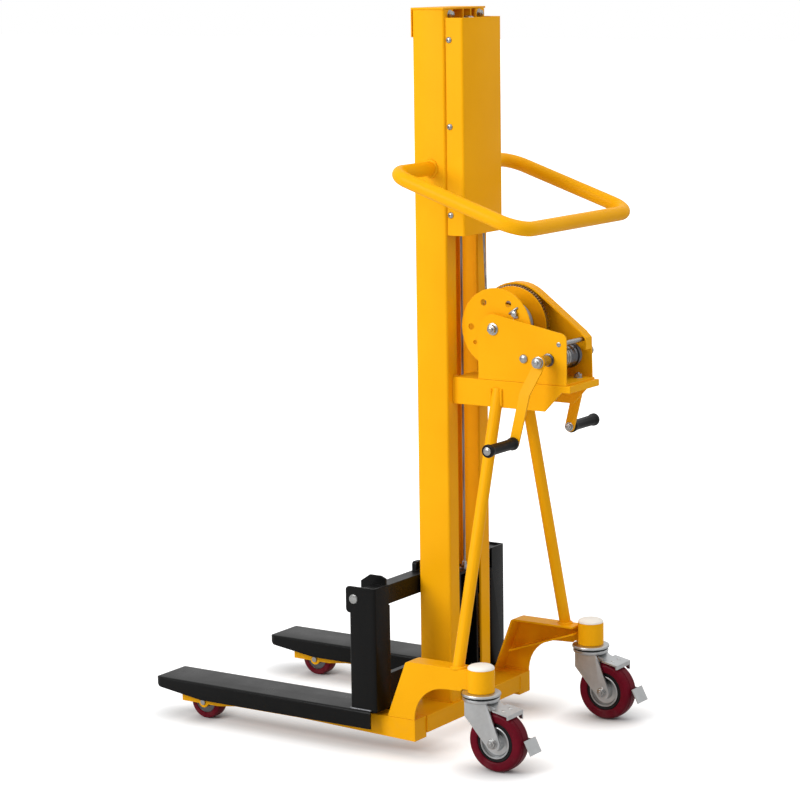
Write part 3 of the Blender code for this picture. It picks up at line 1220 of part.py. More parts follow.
def make_crank(side, sign, parent):
    """A crank: flat arm bent outwards, with its spindle, and the grip that turns on it."""
    half = CRANK_BAR_WALL / 2.0
    hub_x = CRANK_HUB_X[side]
    arm_x = CRANK_ARM_X[side]
    end_radius = CRANK_BAR_WIDTH / 2.0
    bend_end = -CRANK_BEND_LENGTH
    top = end_radius + 0.002
    bottom = -CRANK_RADIUS - end_radius
    flat = -CRANK_BEND_START
    edge = [
        (hub_x - half, top), (hub_x - half, flat), (arm_x - half, bend_end), (arm_x - half, bottom),
        (arm_x + half, bottom), (arm_x + half, bend_end), (hub_x + half, flat), (hub_x + half, top),
    ]
    bar = prism(edge, "y", -end_radius - 0.002, end_radius + 0.002)
    plan = arc((0.0, 0.0), end_radius + 0.0015, 0, 180, 8)
    plan += arc((0.0, -CRANK_RADIUS), end_radius, 180, 360, 8)
    bar = combine(bar, prism(plan, "x", 0.0, 0.2), "INTERSECT")
    bar = cut(bar, rod((0.0, 0.0, 0.0), X_AXIS, 0.0, 0.2, CRANK_SHAFT_RADIUS + SEAT_GAP))
    spindle_end = arm_x + half + SEAT_GAP + GRIP_LENGTH + SEAT_GAP
    head = GRIP_SPINDLE_RADIUS * 1.3
    profile = [(arm_x - half - 0.005, 0.0), (arm_x - half - 0.005, head), (arm_x - half + 0.001, head)]
    profile += [(arm_x - half + 0.001, GRIP_SPINDLE_RADIUS), (spindle_end, GRIP_SPINDLE_RADIUS)]
    profile += [(spindle_end, head), (spindle_end + 0.0015, head), (spindle_end + 0.0015, 0.0)]
    spindle = turned(profile, (0.0, 0.0, -CRANK_RADIUS), X_AXIS, 20)
    arm = joined(bar, spindle)
    place = Matrix.Translation((0.0, CRANK_Y, CRANK_Z)) @ Matrix.Rotation(-CRANK_ANGLE, 4, X_AXIS)
    bmesh.ops.transform(arm, matrix=place, verts=arm.verts)
    shaft_centre = (0.0, CRANK_Y, CRANK_Z)
    piece(f"crank_arm_{side}", mirrored(arm, sign), "yellow_paint", YELLOW_PAINT, parent, origin=shaft_centre)

    start = arm_x + half + SEAT_GAP
    end = start + GRIP_LENGTH
    bore = GRIP_SPINDLE_RADIUS + SEAT_GAP
    wide, slim = GRIP_END_RADIUS, GRIP_RADIUS
    profile = [(start, bore), (start, wide - 0.001), (start + 0.001, wide), (start + 0.008, wide)]
    profile += [(start + 0.014, slim), (end - 0.014, slim), (end - 0.008, wide), (end, wide)]
    profile += [(end, bore)]
    grip = turned(profile, (0.0, 0.0, -CRANK_RADIUS), X_AXIS, 20)
    bmesh.ops.transform(grip, matrix=place, verts=grip.verts)
    pivot = place @ Vector((0.0, 0.0, -CRANK_RADIUS))
    middle = (sign * (start + end) / 2.0, pivot.y, pivot.z)
    piece(f"crank_grip_{side}", mirrored(grip, sign), "black_plastic", BLACK_PLASTIC, parent, origin=middle)


def fork_outline():
    """The fork blade seen from the side: flat, with a rounded nose and a tapered underside."""
    nose = FORK_NOSE_RADIUS
    centre = (FORK_TIP_Y + nose, FORK_TOP - nose)
    outline = [(FORK_HEEL_Y, FORK_BOTTOM), (FORK_HEEL_Y, FORK_TOP)]
    outline += arc(centre, nose, 90, 210, 6)
    outline += [(FORK_TIP_Y + nose * 1.4, FORK_TIP_BOTTOM), (FORK_TAPER_Y, FORK_BOTTOM)]
    return outline


def make_fork(side, sign, parent):
    """One fork: a blade pressed over the leg, with a box shank and its ears."""
    wall = FORK_WALL
    low_x, high_x = FORK_INNER_X, FORK_OUTER_X
    blade = prism(fork_outline(), "x", low_x, high_x)
    plan = [(high_x, FORK_HEEL_Y + wall), (low_x, FORK_HEEL_Y + wall)]
    radius = FORK_PLAN_RADIUS
    plan += arc((low_x + radius, FORK_TIP_Y + radius), radius, 180, 270, 4)
    plan += arc((high_x - radius, FORK_TIP_Y + radius), radius, 270, 360, 4)
    blade = combine(blade, prism(plan, "z", 0.0, 0.2), "INTERSECT")
    edge = FORK_EDGE_RADIUS
    section = [(low_x, 0.0), (high_x, 0.0)]
    section += arc((high_x - edge, FORK_TOP - edge), edge, 0, 90, 3)
    section += arc((low_x + edge, FORK_TOP - edge), edge, 90, 180, 3)
    blade = combine(blade, prism(section, "y", FORK_TIP_Y - wall, FORK_HEEL_Y + wall), "INTERSECT")
    hollow = box(
        (low_x + wall, FORK_TIP_Y + FORK_TIP_PLATE, 0.0), (high_x - wall, FORK_HEEL_Y + wall, FORK_TOP - wall)
    )
    blade = cut(blade, hollow)

    outer = rounded_box((SHANK_INNER_X, SHANK_FRONT_Y), (SHANK_OUTER_X, SHANK_REAR_Y), SHANK_BEND)
    shank = prism(outer, "z", FORK_TOP - wall / 2.0, SHANK_TOP)
    inner = rounded_box(
        (SHANK_INNER_X + SHANK_WALL, SHANK_FRONT_Y + SHANK_WALL),
        (SHANK_OUTER_X - SHANK_WALL, SHANK_REAR_Y - SHANK_WALL), SHANK_BEND / 2.0,
    )
    ear = rounded_box((EAR_FRONT_Y, EAR_BOTTOM), (SHANK_REAR_Y - SHANK_BEND * 1.2, SHANK_TOP), EAR_CORNER)
    hook = [
        (EAR_FRONT_Y + EAR_CORNER, EAR_BOTTOM), (HOOK_END_Y, EAR_BOTTOM), (HOOK_END_Y, HOOK_END_Z),
        (HOOK_REAR_Y, HOOK_TOP), (HOOK_FRONT_Y, HOOK_TOP), (EAR_FRONT_Y, SHANK_TOP),
        (EAR_FRONT_Y, EAR_BOTTOM + EAR_CORNER),
    ]
    for plate, near in ((hook, SHANK_INNER_X), (ear, SHANK_OUTER_X - SHANK_WALL)):
        shank = joined(shank, prism(plate, "x", near, near + SHANK_WALL))
    opening = box(
        (SHANK_INNER_X + SHANK_WALL, EAR_FRONT_Y - wall, SHANK_FRONT_TOP),
        (SHANK_OUTER_X - SHANK_WALL, SHANK_REAR_Y - SHANK_WALL - 0.004, SHANK_TOP + wall),
    )
    near, far = SHANK_INNER_X - wall, SHANK_INNER_X + SHANK_WALL * 2.0
    behind = SHANK_REAR_Y + wall
    notch = box(
        (near, BAR_REAR_Y - BAR_DEPTH - SEAT_GAP, BAR_BOTTOM - SEAT_GAP), (far, behind, BAR_TOP + SEAT_GAP)
    )
    release = box((near, HOOK_END_Y, BAR_TOP - wall), (far, behind, SHANK_TOP + wall))
    shank = cut(shank, prism(inner, "z", FORK_TOP, SHANK_TOP + wall), opening, notch, release)
    hole = rod((0.0, ROD_Y, ROD_Z), X_AXIS, 0.1, 0.3, ROD_RADIUS + SEAT_GAP)
    shape = cut(joined(blade, shank), hole)
    piece(f"fork_{side}", mirrored(shape, sign), "black_paint", BLACK_PAINT, parent)


def make_fork_rod(parent):
    """The round rod through both forks' ears."""
    end = SHANK_OUTER_X + ROD_END
    bevel = 0.001
    profile = [(-end, 0.0), (-end, ROD_RADIUS - bevel), (-end + bevel, ROD_RADIUS)]
    profile += [(-along, radius) for along, radius in reversed(profile)]
    shape = turned(profile, (0.0, ROD_Y, ROD_Z), X_AXIS, 28)
    piece("fork_rod", shape, "steel", STEEL, parent)


def make_bar(parent):
    """The square tube across the carriage, open at its ends, with two stop lugs on top."""
    low = (-BAR_END_X, BAR_REAR_Y - BAR_DEPTH, BAR_BOTTOM)
    high = (BAR_END_X, BAR_REAR_Y, BAR_TOP)
    wall = BAR_WALL
    shape = box(low, high)
    for sign in SIDES.values():
        left, right = span(sign, STOP_X - STOP_HALF_WIDTH, STOP_X + STOP_HALF_WIDTH)
        top = BAR_TOP + STOP_HEIGHT
        corner = STOP_CORNER
        outline = [(left, BAR_TOP - wall / 2.0), (right, BAR_TOP - wall / 2.0), (right, top - corner)]
        outline += [(right - corner, top), (left + corner, top), (left, top - corner)]
        shape = joined(shape, prism(outline, "y", low[1], low[1] + STOP_WALL))
    past = BAR_END_X + wall
    inside = box((-past, low[1] + wall, low[2] + wall), (past, high[1] - wall, high[2] - wall))
    piece("fork_bar", cut(shape, inside), "black_paint", BLACK_PAINT, parent)


def make_carriage(parent):
    """The carriage in the mast: its plates, the low bar between the shanks, and the rollers' stubs."""
    half = CARRIAGE_HALF_WIDTH
    wall = CARRIAGE_WALL
    front = BAR_REAR_Y + SEAT_GAP
    low, high = CARRIAGE_BOTTOM, CARRIAGE_TOP
    shape = box((-half, front, low), (half, CARRIAGE_REAR_Y, high))
    inside = box((-half + wall, front + wall, low - wall), (half - wall, CARRIAGE_REAR_Y + wall, high - wall))
    shape = cut(shape, inside)
    bar_end = SHANK_INNER_X - SEAT_GAP
    low_bar = box(
        (-bar_end, LOW_BAR_REAR_Y - LOW_BAR_DEPTH, LOW_BAR_BOTTOM), (bar_end, LOW_BAR_REAR_Y, LOW_BAR_TOP)
    )
    shape = joined(shape, low_bar)
    stub_end = ROLLER_X + ROLLER_HALF_WIDTH
    for z in (ROLLER_LOW_Z, ROLLER_HIGH_Z):
        for sign in SIDES.values():
            start, end = span(sign, half - wall / 2.0, stub_end)
            shape = joined(shape, rod((0.0, 0.0, z), X_AXIS, start, end, ROLLER_AXLE_RADIUS, 18))
    hole_radius = ANCHOR_RADIUS + SEAT_GAP
    anchor_hole = rod((PULLEY_X, ROPE_FRONT_Y, 0.0), Z_AXIS, high - wall * 2.0, high + wall, hole_radius)
    shape = cut(shape, anchor_hole)
    piece("carriage_frame", shape, "black_paint", BLACK_PAINT, parent)

    stud = ANCHOR_RADIUS
    nut = ANCHOR_NUT_RADIUS
    base = ANCHOR_Z
    under = high - wall - SEAT_GAP
    profile = [(under - ANCHOR_NUT_HEIGHT, 0.0), (under - ANCHOR_NUT_HEIGHT, nut)]
    profile += [(under, nut), (under, stud)]
    profile += [(base, stud), (base, nut), (base + ANCHOR_NUT_HEIGHT, nut)]
    profile += [(base + ANCHOR_NUT_HEIGHT, stud * 0.8), (base + ANCHOR_HEIGHT - 0.003, stud * 0.8)]
    profile += [(base + ANCHOR_HEIGHT, stud * 0.6), (base + ANCHOR_HEIGHT, 0.0)]
    anchor = turned(profile, (PULLEY_X, ROPE_FRONT_Y, 0.0), Z_AXIS, 12)
    piece("rope_anchor", anchor, "steel", STEEL, parent)

    for level, z in (("lower", ROLLER_LOW_Z), ("upper", ROLLER_HIGH_Z)):
        for side, sign in SIDES.items():
            centre = (sign * ROLLER_X, 0.0, z)
            width = ROLLER_HALF_WIDTH
            bore = ROLLER_AXLE_RADIUS + SEAT_GAP
            profile = [(-width, bore), (-width, ROLLER_RADIUS), (width, ROLLER_RADIUS), (width, bore)]
            roller = turned(profile, centre, X_AXIS, 24)
            piece(f"mast_roller_{level}_{side}", roller, "dark_steel", DARK_STEEL, parent, origin=centre)


def main():
    clear_scene()
    frame = bpy.data.objects.new("mast_centre", None)
    frame.location = (0.0, MAST_CENTRE_Y, 0.0)
    bpy.context.scene.collection.objects.link(frame)
    make_mast_head(frame)
    make_cover(frame)
    make_head_pulley(frame)
    make_ropes(frame)
    make_handle(frame)
    make_crossbeam(frame)
    make_platform(frame)
    make_winch_frame(frame)
    make_drum(frame)
    make_idler(frame)
    make_crank_shaft(frame)
    make_pawl(frame)
    make_fork_rod(frame)
    make_bar(frame)
    make_carriage(frame)
    for side, sign in SIDES.items():
        make_channel(side, sign, frame)
        make_leg(side, sign, frame)
        make_load_wheel(side, sign, frame)
        make_bracket(side, sign, frame)
        make_strut(side, sign, frame)
        make_caster(side, sign, frame)
        make_crank(side, sign, frame)
        make_fork(side, sign, frame)


main()
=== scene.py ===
"""Finishes, welds, ropes, wheels and small fittings for a high lift pallet truck with a hand winch.

Metres, +Z up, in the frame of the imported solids. The forks point to -Y and the operator stands at +Y.
Heights count from the floor. Places along Y that are written here count from the mast's centre.
"""
import json
import math

import bmesh
import bpy
from bpy.props import FloatProperty, FloatVectorProperty, IntProperty, PointerProperty
from bpy.types import Operator, Panel, PropertyGroup
from mathutils import Matrix, Vector

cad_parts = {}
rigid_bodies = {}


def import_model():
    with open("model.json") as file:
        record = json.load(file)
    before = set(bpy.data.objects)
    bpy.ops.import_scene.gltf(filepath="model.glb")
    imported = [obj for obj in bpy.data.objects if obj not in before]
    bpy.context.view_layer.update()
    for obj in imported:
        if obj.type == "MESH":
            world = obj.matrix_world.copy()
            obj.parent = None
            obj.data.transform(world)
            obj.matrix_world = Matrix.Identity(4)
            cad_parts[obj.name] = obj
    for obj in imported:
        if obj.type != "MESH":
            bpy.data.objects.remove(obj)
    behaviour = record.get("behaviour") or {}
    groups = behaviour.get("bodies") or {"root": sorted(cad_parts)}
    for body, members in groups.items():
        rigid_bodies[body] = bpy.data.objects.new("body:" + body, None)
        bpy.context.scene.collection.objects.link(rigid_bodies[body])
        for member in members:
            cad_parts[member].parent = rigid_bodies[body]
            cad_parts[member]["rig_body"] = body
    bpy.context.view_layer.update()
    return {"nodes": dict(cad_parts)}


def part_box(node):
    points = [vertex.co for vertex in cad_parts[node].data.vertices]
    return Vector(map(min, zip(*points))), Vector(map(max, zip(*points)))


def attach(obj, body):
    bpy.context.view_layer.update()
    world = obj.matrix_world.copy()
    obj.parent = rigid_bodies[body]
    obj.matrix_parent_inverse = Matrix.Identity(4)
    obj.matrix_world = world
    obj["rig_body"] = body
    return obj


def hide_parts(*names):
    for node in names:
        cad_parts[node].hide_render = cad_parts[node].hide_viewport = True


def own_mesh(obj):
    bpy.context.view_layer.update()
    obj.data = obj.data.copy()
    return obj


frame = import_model()

bl_info = {
    "name": "High lift pallet truck",
    "version": (1, 0, 0),
    "blender": (4, 5, 0),
    "location": "3D View > Sidebar > Truck",
    "description": "Dresses the truck's solids with finishes, welds, ropes, wheels and small fittings",
    "category": "Object",
}

SIDES = {"left": 1.0, "right": -1.0}
FULL_TURN = 2.0 * math.pi
X_AXIS = Vector((1.0, 0.0, 0.0))
Y_AXIS = Vector((0.0, 1.0, 0.0))
Z_AXIS = Vector((0.0, 0.0, 1.0))


def middle(node):
    """The middle of a solid's box."""
    low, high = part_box(node)
    return (low + high) / 2.0


MAST_Y = middle("mast_channel_left").y


def at(x, y, z):
    """A place whose Y counts from the mast's centre."""
    return Vector((x, MAST_Y + y, z))


def panel_colour(name, about, default):
    """A colour in the panel."""
    return FloatVectorProperty(
        name=name, description=about, subtype="COLOR", default=default, min=0.0, max=1.0
    )


def panel_length(name, about, default, low, high):
    """A length in the panel."""
    return FloatProperty(name=name, description=about, default=default, min=low, max=high, unit="LENGTH")


def panel_angle(name, about, degrees):
    """An angle in the panel, from its degrees."""
    return FloatProperty(name=name, description=about, default=math.radians(degrees), subtype="ANGLE")


class TruckColours(PropertyGroup):
    """Colours of the truck's finishes."""

    yellow: panel_colour("Yellow coat", "Powder coat of the frame", (0.940, 0.438, 0.004))
    yellow_deep: panel_colour("Yellow, deep", "The coat where it lies thicker", (0.880, 0.392, 0.002))
    black: panel_colour("Black coat", "Powder coat of the forks and carriage", (0.0030, 0.0030, 0.0030))
    zinc: panel_colour("Zinc", "Plated sheet of the casters", (0.560, 0.570, 0.575))
    steel: panel_colour("Bright steel", "Nuts, bolts and pins", (0.430, 0.430, 0.425))
    # On the fork foot welds this finish is a painted highlight: those welds are black coated, and the lighter
    # iron stands in for their gloss.
    iron: panel_colour("Dark iron", "Bushings, load hubs and bare welds", (0.16, 0.16, 0.17))
    wire: panel_colour("Rope wire", "Strands of the ropes", (0.36, 0.365, 0.37))
    tread: panel_colour("Wheel tread", "Polyurethane of the tyres", (0.128, 0.003, 0.012))
    cap: panel_colour("Stem cap", "White plastic of the caster caps", (0.920, 0.890, 0.820))
    grip: panel_colour("Crank grip", "Black plastic of the crank grips", (0.007, 0.007, 0.0075))


class TruckSizes(PropertyGroup):
    """Sizes of the fittings that the solids leave out."""

    bead: panel_length("Weld bead", "Radius of a weld bead", 0.0024, 0.0005, 0.01)
    strand_lay: panel_length("Rope lay", "Length of one turn of a strand", 0.032, 0.01, 0.1)
    screw_head: panel_length("Cover screw", "Radius of a cover screw's head", 0.0066, 0.002, 0.02)
    grip_flutes: IntProperty(
        name="Grip flutes", description="Number of flutes round a crank grip", default=10, min=4, max=24
    )


class TruckStage(PropertyGroup):
    """Light, floor and camera."""

    floor: panel_colour("Floor", "Colour of the floor", (0.70, 0.70, 0.70))
    ambient: FloatProperty(
        name="Ambient light", description="Strength of the light from all round",
        default=0.63, min=0.0, max=2.0,
    )
    key_power: FloatProperty(
        name="Key light", description="Power of the main lamp",
        default=119.0, min=0.0, max=1000.0, unit="POWER",
    )
    lens: FloatProperty(
        name="Lens", description="Focal length of the camera in millimetres",
        default=121.62, min=10.0, max=500.0,
    )
    azimuth: panel_angle("Azimuth", "Turn of the camera round the truck", 122.718)
    elevation: panel_angle("Elevation", "Tilt of the camera above the horizon", 9.11)


# Node groups and finishes


def new_group(name, inputs, outputs):
    """An empty shader group with its sockets. Returns the group, its start and its end."""
    group = bpy.data.node_groups.new(name, "ShaderNodeTree")
    for label, kind, value in inputs:
        group.interface.new_socket(label, in_out="INPUT", socket_type=kind).default_value = value
    for label, kind in outputs:
        group.interface.new_socket(label, in_out="OUTPUT", socket_type=kind)
    return group, group.nodes.new("NodeGroupInput"), group.nodes.new("NodeGroupOutput")


def place_of(tree):
    """Object coordinates."""
    return tree.nodes.new("ShaderNodeTexCoord").outputs["Object"]


def noise(tree, vector, scale=None, detail=4.0, rough=0.5):
    """A noise texture on a vector. Returns its node."""
    made = tree.nodes.new("ShaderNodeTexNoise")
    made.inputs["Detail"].default_value = detail
    made.inputs["Roughness"].default_value = rough
    if scale is not None:
        made.inputs["Scale"].default_value = scale
    tree.links.new(vector, made.inputs["Vector"])
    return made


def mapped(tree, value, low, high, out_low=0.0, out_high=1.0):
    """A value put through a Map Range node. Returns its output."""
    made = tree.nodes.new("ShaderNodeMapRange")
    made.inputs["From Min"].default_value = low
    made.inputs["From Max"].default_value = high
    made.inputs["To Min"].default_value = out_low
    made.inputs["To Max"].default_value = out_high
    tree.links.new(value, made.inputs["Value"])
    return made.outputs["Result"]


def worked(tree, operation, first, second=None):
    """The output of a Math node. The second value is an output, a number or nothing."""
    made = tree.nodes.new("ShaderNodeMath")
    made.operation = operation
    tree.links.new(first, made.inputs[0])
    if isinstance(second, bpy.types.NodeSocket):
        tree.links.new(second, made.inputs[1])
    elif second is not None:
        made.inputs[1].default_value = second
    return made.outputs["Value"]


def times(tree, first, second):
    """The product of two values."""
    return worked(tree, "MULTIPLY", first, second)


def axes_of(tree, vector):
    """The X, Y and Z outputs of a vector."""
    split = tree.nodes.new("ShaderNodeSeparateXYZ")
    tree.links.new(vector, split.inputs["Vector"])
    return split.outputs


def length_of(tree, vector):
    """The length of a vector."""
    away = tree.nodes.new("ShaderNodeVectorMath")
    away.operation = "LENGTH"
    tree.links.new(vector, away.inputs[0])
    return away.outputs["Value"]


def stretched_place(group, start):
    """Object coordinates times the group's Along socket."""
    stretch = group.nodes.new("ShaderNodeVectorMath")
    stretch.operation = "MULTIPLY"
    group.links.new(place_of(group), stretch.inputs[0])
    group.links.new(start.outputs["Along"], stretch.inputs[1])
    return stretch.outputs["Vector"]


def spread_gloss(group, start, end, value, low=0.0, high=1.0):
    """Send a value to the Roughness socket, put between the group's two gloss values."""
    spread = group.nodes.new("ShaderNodeMapRange")
    spread.inputs["From Min"].default_value = low
    spread.inputs["From Max"].default_value = high
    group.links.new(value, spread.inputs["Value"])
    group.links.new(start.outputs["Gloss low"], spread.inputs["To Min"])
    group.links.new(start.outputs["Gloss high"], spread.inputs["To Max"])
    group.links.new(spread.outputs["Result"], end.inputs["Roughness"])


def blended(tree, factor, first, second):
    """Two colours mixed by a factor. Each is an output or a plain colour."""
    made = tree.nodes.new("ShaderNodeMix")
    made.data_type = "RGBA"
    tree.links.new(factor, made.inputs["Factor"])
    for name, colour in (("A", first), ("B", second)):
        socket = [item for item in made.inputs if item.name == name and item.type == "RGBA"][0]
        if isinstance(colour, bpy.types.NodeSocket):
            tree.links.new(colour, socket)
        else:
            socket.default_value = (*colour, 1.0)
    return [item for item in made.outputs if item.type == "RGBA"][0]


def make_tone_group():
    """Slow drift between two colours, as a sprayed coat has."""
    group, start, end = new_group(
        "tone_drift",
        [
            ("Colour", "NodeSocketColor", (0.8, 0.8, 0.8, 1.0)),
            ("Deep", "NodeSocketColor", (0.5, 0.5, 0.5, 1.0)), ("Scale", "NodeSocketFloat", 6.0),
        ],
        [("Colour", "NodeSocketColor")],
    )
    cloud = noise(group, place_of(group), detail=3.0)
    group.links.new(start.outputs["Scale"], cloud.inputs["Scale"])
    share = mapped(group, cloud.outputs["Fac"], 0.35, 0.70)
    colour = blended(group, share, start.outputs["Colour"], start.outputs["Deep"])
    group.links.new(colour, end.inputs["Colour"])
    return group


def make_peel_group():
    """Fine orange peel of a baked coat: its height, and how the gloss varies with it."""
    group, start, end = new_group(
        "orange_peel",
        [
            ("Scale", "NodeSocketFloat", 420.0), ("Gloss low", "NodeSocketFloat", 0.3),
            ("Gloss high", "NodeSocketFloat", 0.4),
        ],
        [("Height", "NodeSocketFloat"), ("Roughness", "NodeSocketFloat")],
    )
    where = place_of(group)
    grain = noise(group, where, detail=2.0)
    group.links.new(start.outputs["Scale"], grain.inputs["Scale"])
    group.links.new(grain.outputs["Fac"], end.inputs["Height"])
    patch = noise(group, where, scale=14.0, detail=5.0)
    spread_gloss(group, start, end, patch.outputs["Fac"], 0.30, 0.72)
    return group


def make_dust_group():
    """Dust that lies thicker towards the floor, as a mask."""
    group, start, end = new_group(
        "floor_dust",
        [("Height", "NodeSocketFloat", 0.12), ("Amount", "NodeSocketFloat", 0.15)],
        [("Mask", "NodeSocketFloat")],
    )
    where = place_of(group)
    fall = group.nodes.new("ShaderNodeMapRange")
    fall.inputs["From Min"].default_value = 0.0
    fall.inputs["To Min"].default_value = 1.0
    fall.inputs["To Max"].default_value = 0.0
    group.links.new(axes_of(group, where)["Z"], fall.inputs["Value"])
    group.links.new(start.outputs["Height"], fall.inputs["From Max"])
    speck = mapped(group, noise(group, where, scale=60.0, detail=6.0).outputs["Fac"], 0.40, 0.75)
    layer = times(group, fall.outputs["Result"], speck)
    group.links.new(times(group, layer, start.outputs["Amount"]), end.inputs["Mask"])
    return group


def make_scuff_group():
    """Short fine scuffs along one axis, as a mask."""
    group, start, end = new_group(
        "fine_scuffs",
        [("Along", "NodeSocketVector", (90.0, 9.0, 90.0)), ("Amount", "NodeSocketFloat", 0.3)],
        [("Mask", "NodeSocketFloat")],
    )
    streak = noise(group, stretched_place(group, start), scale=1.0, detail=3.0, rough=0.7)
    thin = mapped(group, streak.outputs["Fac"], 0.62, 0.78)
    patch = mapped(group, noise(group, place_of(group), scale=9.0, detail=2.0).outputs["Fac"], 0.45, 0.65)
    group.links.new(times(group, times(group, thin, patch), start.outputs["Amount"]), end.inputs["Mask"])
    return group


def make_spangle_group():
    """Crystal cells of plated sheet with fine handling marks: a factor for tone, and the roughness."""
    group, start, end = new_group(
        "plated_spangle",
        [
            ("Scale", "NodeSocketFloat", 150.0), ("Gloss low", "NodeSocketFloat", 0.3),
            ("Gloss high", "NodeSocketFloat", 0.45),
        ],
        [("Factor", "NodeSocketFloat"), ("Roughness", "NodeSocketFloat"), ("Height", "NodeSocketFloat")],
    )
    where = place_of(group)
    cells = group.nodes.new("ShaderNodeTexVoronoi")
    group.links.new(where, cells.inputs["Vector"])
    group.links.new(start.outputs["Scale"], cells.inputs["Scale"])
    split = group.nodes.new("ShaderNodeSeparateColor")
    group.links.new(cells.outputs["Color"], split.inputs["Color"])
    cloud = noise(group, where, scale=32.0, detail=6.0, rough=0.6)
    cloud_share = mapped(group, cloud.outputs["Fac"], 0.30, 0.75)
    mixed = group.nodes.new("ShaderNodeMath")
    mixed.operation = "MULTIPLY_ADD"
    mixed.inputs[1].default_value = 0.35
    group.links.new(split.outputs["Red"], mixed.inputs[0])
    group.links.new(cloud_share, mixed.inputs[2])
    factor = mapped(group, mixed.outputs["Value"], 0.0, 1.35)
    group.links.new(factor, end.inputs["Factor"])
    spread_gloss(group, start, end, factor)
    group.links.new(noise(group, where, scale=900.0, detail=2.0).outputs["Fac"], end.inputs["Height"])
    return group


def make_lathe_group():
    """Fine rings of a turned face or drawn streaks of a bar, by how far each axis is stretched."""
    group, start, end = new_group(
        "tool_marks",
        [
            ("Along", "NodeSocketVector", (2500.0, 30.0, 30.0)), ("Gloss low", "NodeSocketFloat", 0.18),
            ("Gloss high", "NodeSocketFloat", 0.34),
        ],
        [("Height", "NodeSocketFloat"), ("Roughness", "NodeSocketFloat")],
    )
    streak = noise(group, stretched_place(group, start), scale=1.0, detail=2.0)
    group.links.new(streak.outputs["Fac"], end.inputs["Height"])
    spread_gloss(group, start, end, streak.outputs["Fac"], 0.3, 0.7)
    return group


GROUP_MAKERS = {
    "tone_drift": make_tone_group,
    "orange_peel": make_peel_group,
    "floor_dust": make_dust_group,
    "fine_scuffs": make_scuff_group,
    "plated_spangle": make_spangle_group,
    "tool_marks": make_lathe_group,
}


def group_node(tree, name, **values):
    """A shared group placed in a material. A value's name has _ where its socket has a space."""
    made = tree.nodes.new("ShaderNodeGroup")
    made.node_tree = bpy.data.node_groups.get(name) or GROUP_MAKERS[name]()
    for label, value in values.items():
        made.inputs[label.replace("_", " ")].default_value = value
    return made


def new_finish(name, metallic=0.0, specular=0.5):
    """A material with a Principled BSDF. Returns its tree and the shader."""
    made = bpy.data.materials.new(name)
    made.use_nodes = True
    shader = made.node_tree.nodes["Principled BSDF"]
    shader.inputs["Metallic"].default_value = metallic
    shader.inputs["Specular IOR Level"].default_value = specular
    return made.node_tree, shader


def add_bump(tree, shader, height, distance):
    """A Bump node from a height to the shader's normal."""
    bump = tree.nodes.new("ShaderNodeBump")
    bump.inputs["Distance"].default_value = distance
    bump.inputs["Strength"].default_value = 1.0
    tree.links.new(height, bump.inputs["Height"])
    tree.links.new(bump.outputs["Normal"], shader.inputs["Normal"])


def coat_finish(name, colour, deep, gloss, scuff, scuff_colour, specular, dust_amount=0.07):
    """A baked powder coat with orange peel, drifting tone, fine scuffs and floor dust."""
    tree, shader = new_finish(name, specular=specular)
    tone = group_node(tree, "tone_drift", Colour=(*colour, 1.0), Deep=(*deep, 1.0), Scale=5.0)
    scuffs = group_node(tree, "fine_scuffs", Amount=scuff)
    marked = blended(tree, scuffs.outputs["Mask"], tone.outputs["Colour"], scuff_colour)
    dust = group_node(tree, "floor_dust", Height=0.10, Amount=dust_amount)
    dusty = blended(tree, dust.outputs["Mask"], marked, (0.30, 0.26, 0.20))
    tree.links.new(dusty, shader.inputs["Base Color"])
    peel = group_node(tree, "orange_peel", Scale=420.0, Gloss_low=gloss[0], Gloss_high=gloss[1])
    tree.links.new(peel.outputs["Roughness"], shader.inputs["Roughness"])
    add_bump(tree, shader, peel.outputs["Height"], 0.00022)


def plated_finish(name, colour, gloss):
    """Plated sheet with a soft spangle."""
    tree, shader = new_finish(name, metallic=1.0)
    cells = group_node(tree, "plated_spangle", Gloss_low=gloss[0], Gloss_high=gloss[1])
    dull = tuple(value * 0.82 for value in colour)
    tree.links.new(blended(tree, cells.outputs["Factor"], dull, colour), shader.inputs["Base Color"])
    tree.links.new(cells.outputs["Roughness"], shader.inputs["Roughness"])
    add_bump(tree, shader, cells.outputs["Height"], 0.00004)


def turned_finish(name, colour, along, gloss):
    """Bare or plated steel with tool marks along one axis."""
    tree, shader = new_finish(name, metallic=1.0)
    marks = group_node(tree, "tool_marks", Along=along, Gloss_low=gloss[0], Gloss_high=gloss[1])
    dull = tuple(value * 0.8 for value in colour)
    tree.links.new(blended(tree, marks.outputs["Height"], dull, colour), shader.inputs["Base Color"])
    tree.links.new(marks.outputs["Roughness"], shader.inputs["Roughness"])
    add_bump(tree, shader, marks.outputs["Height"], 0.00003)


def moulded_finish(name, colour, deep, gloss, grain_scale, grain_depth, specular=0.3):
    """Moulded plastic or rubber with a fine grain and floor dust."""
    tree, shader = new_finish(name, specular=specular)
    tone = group_node(tree, "tone_drift", Colour=(*colour, 1.0), Deep=(*deep, 1.0), Scale=25.0)
    dust = group_node(tree, "floor_dust", Height=0.05, Amount=0.08)
    dusty = blended(tree, dust.outputs["Mask"], tone.outputs["Colour"], (0.35, 0.32, 0.30))
    tree.links.new(dusty, shader.inputs["Base Color"])
    peel = group_node(tree, "orange_peel", Scale=grain_scale, Gloss_low=gloss[0], Gloss_high=gloss[1])
    tree.links.new(peel.outputs["Roughness"], shader.inputs["Roughness"])
    add_bump(tree, shader, peel.outputs["Height"], grain_depth)


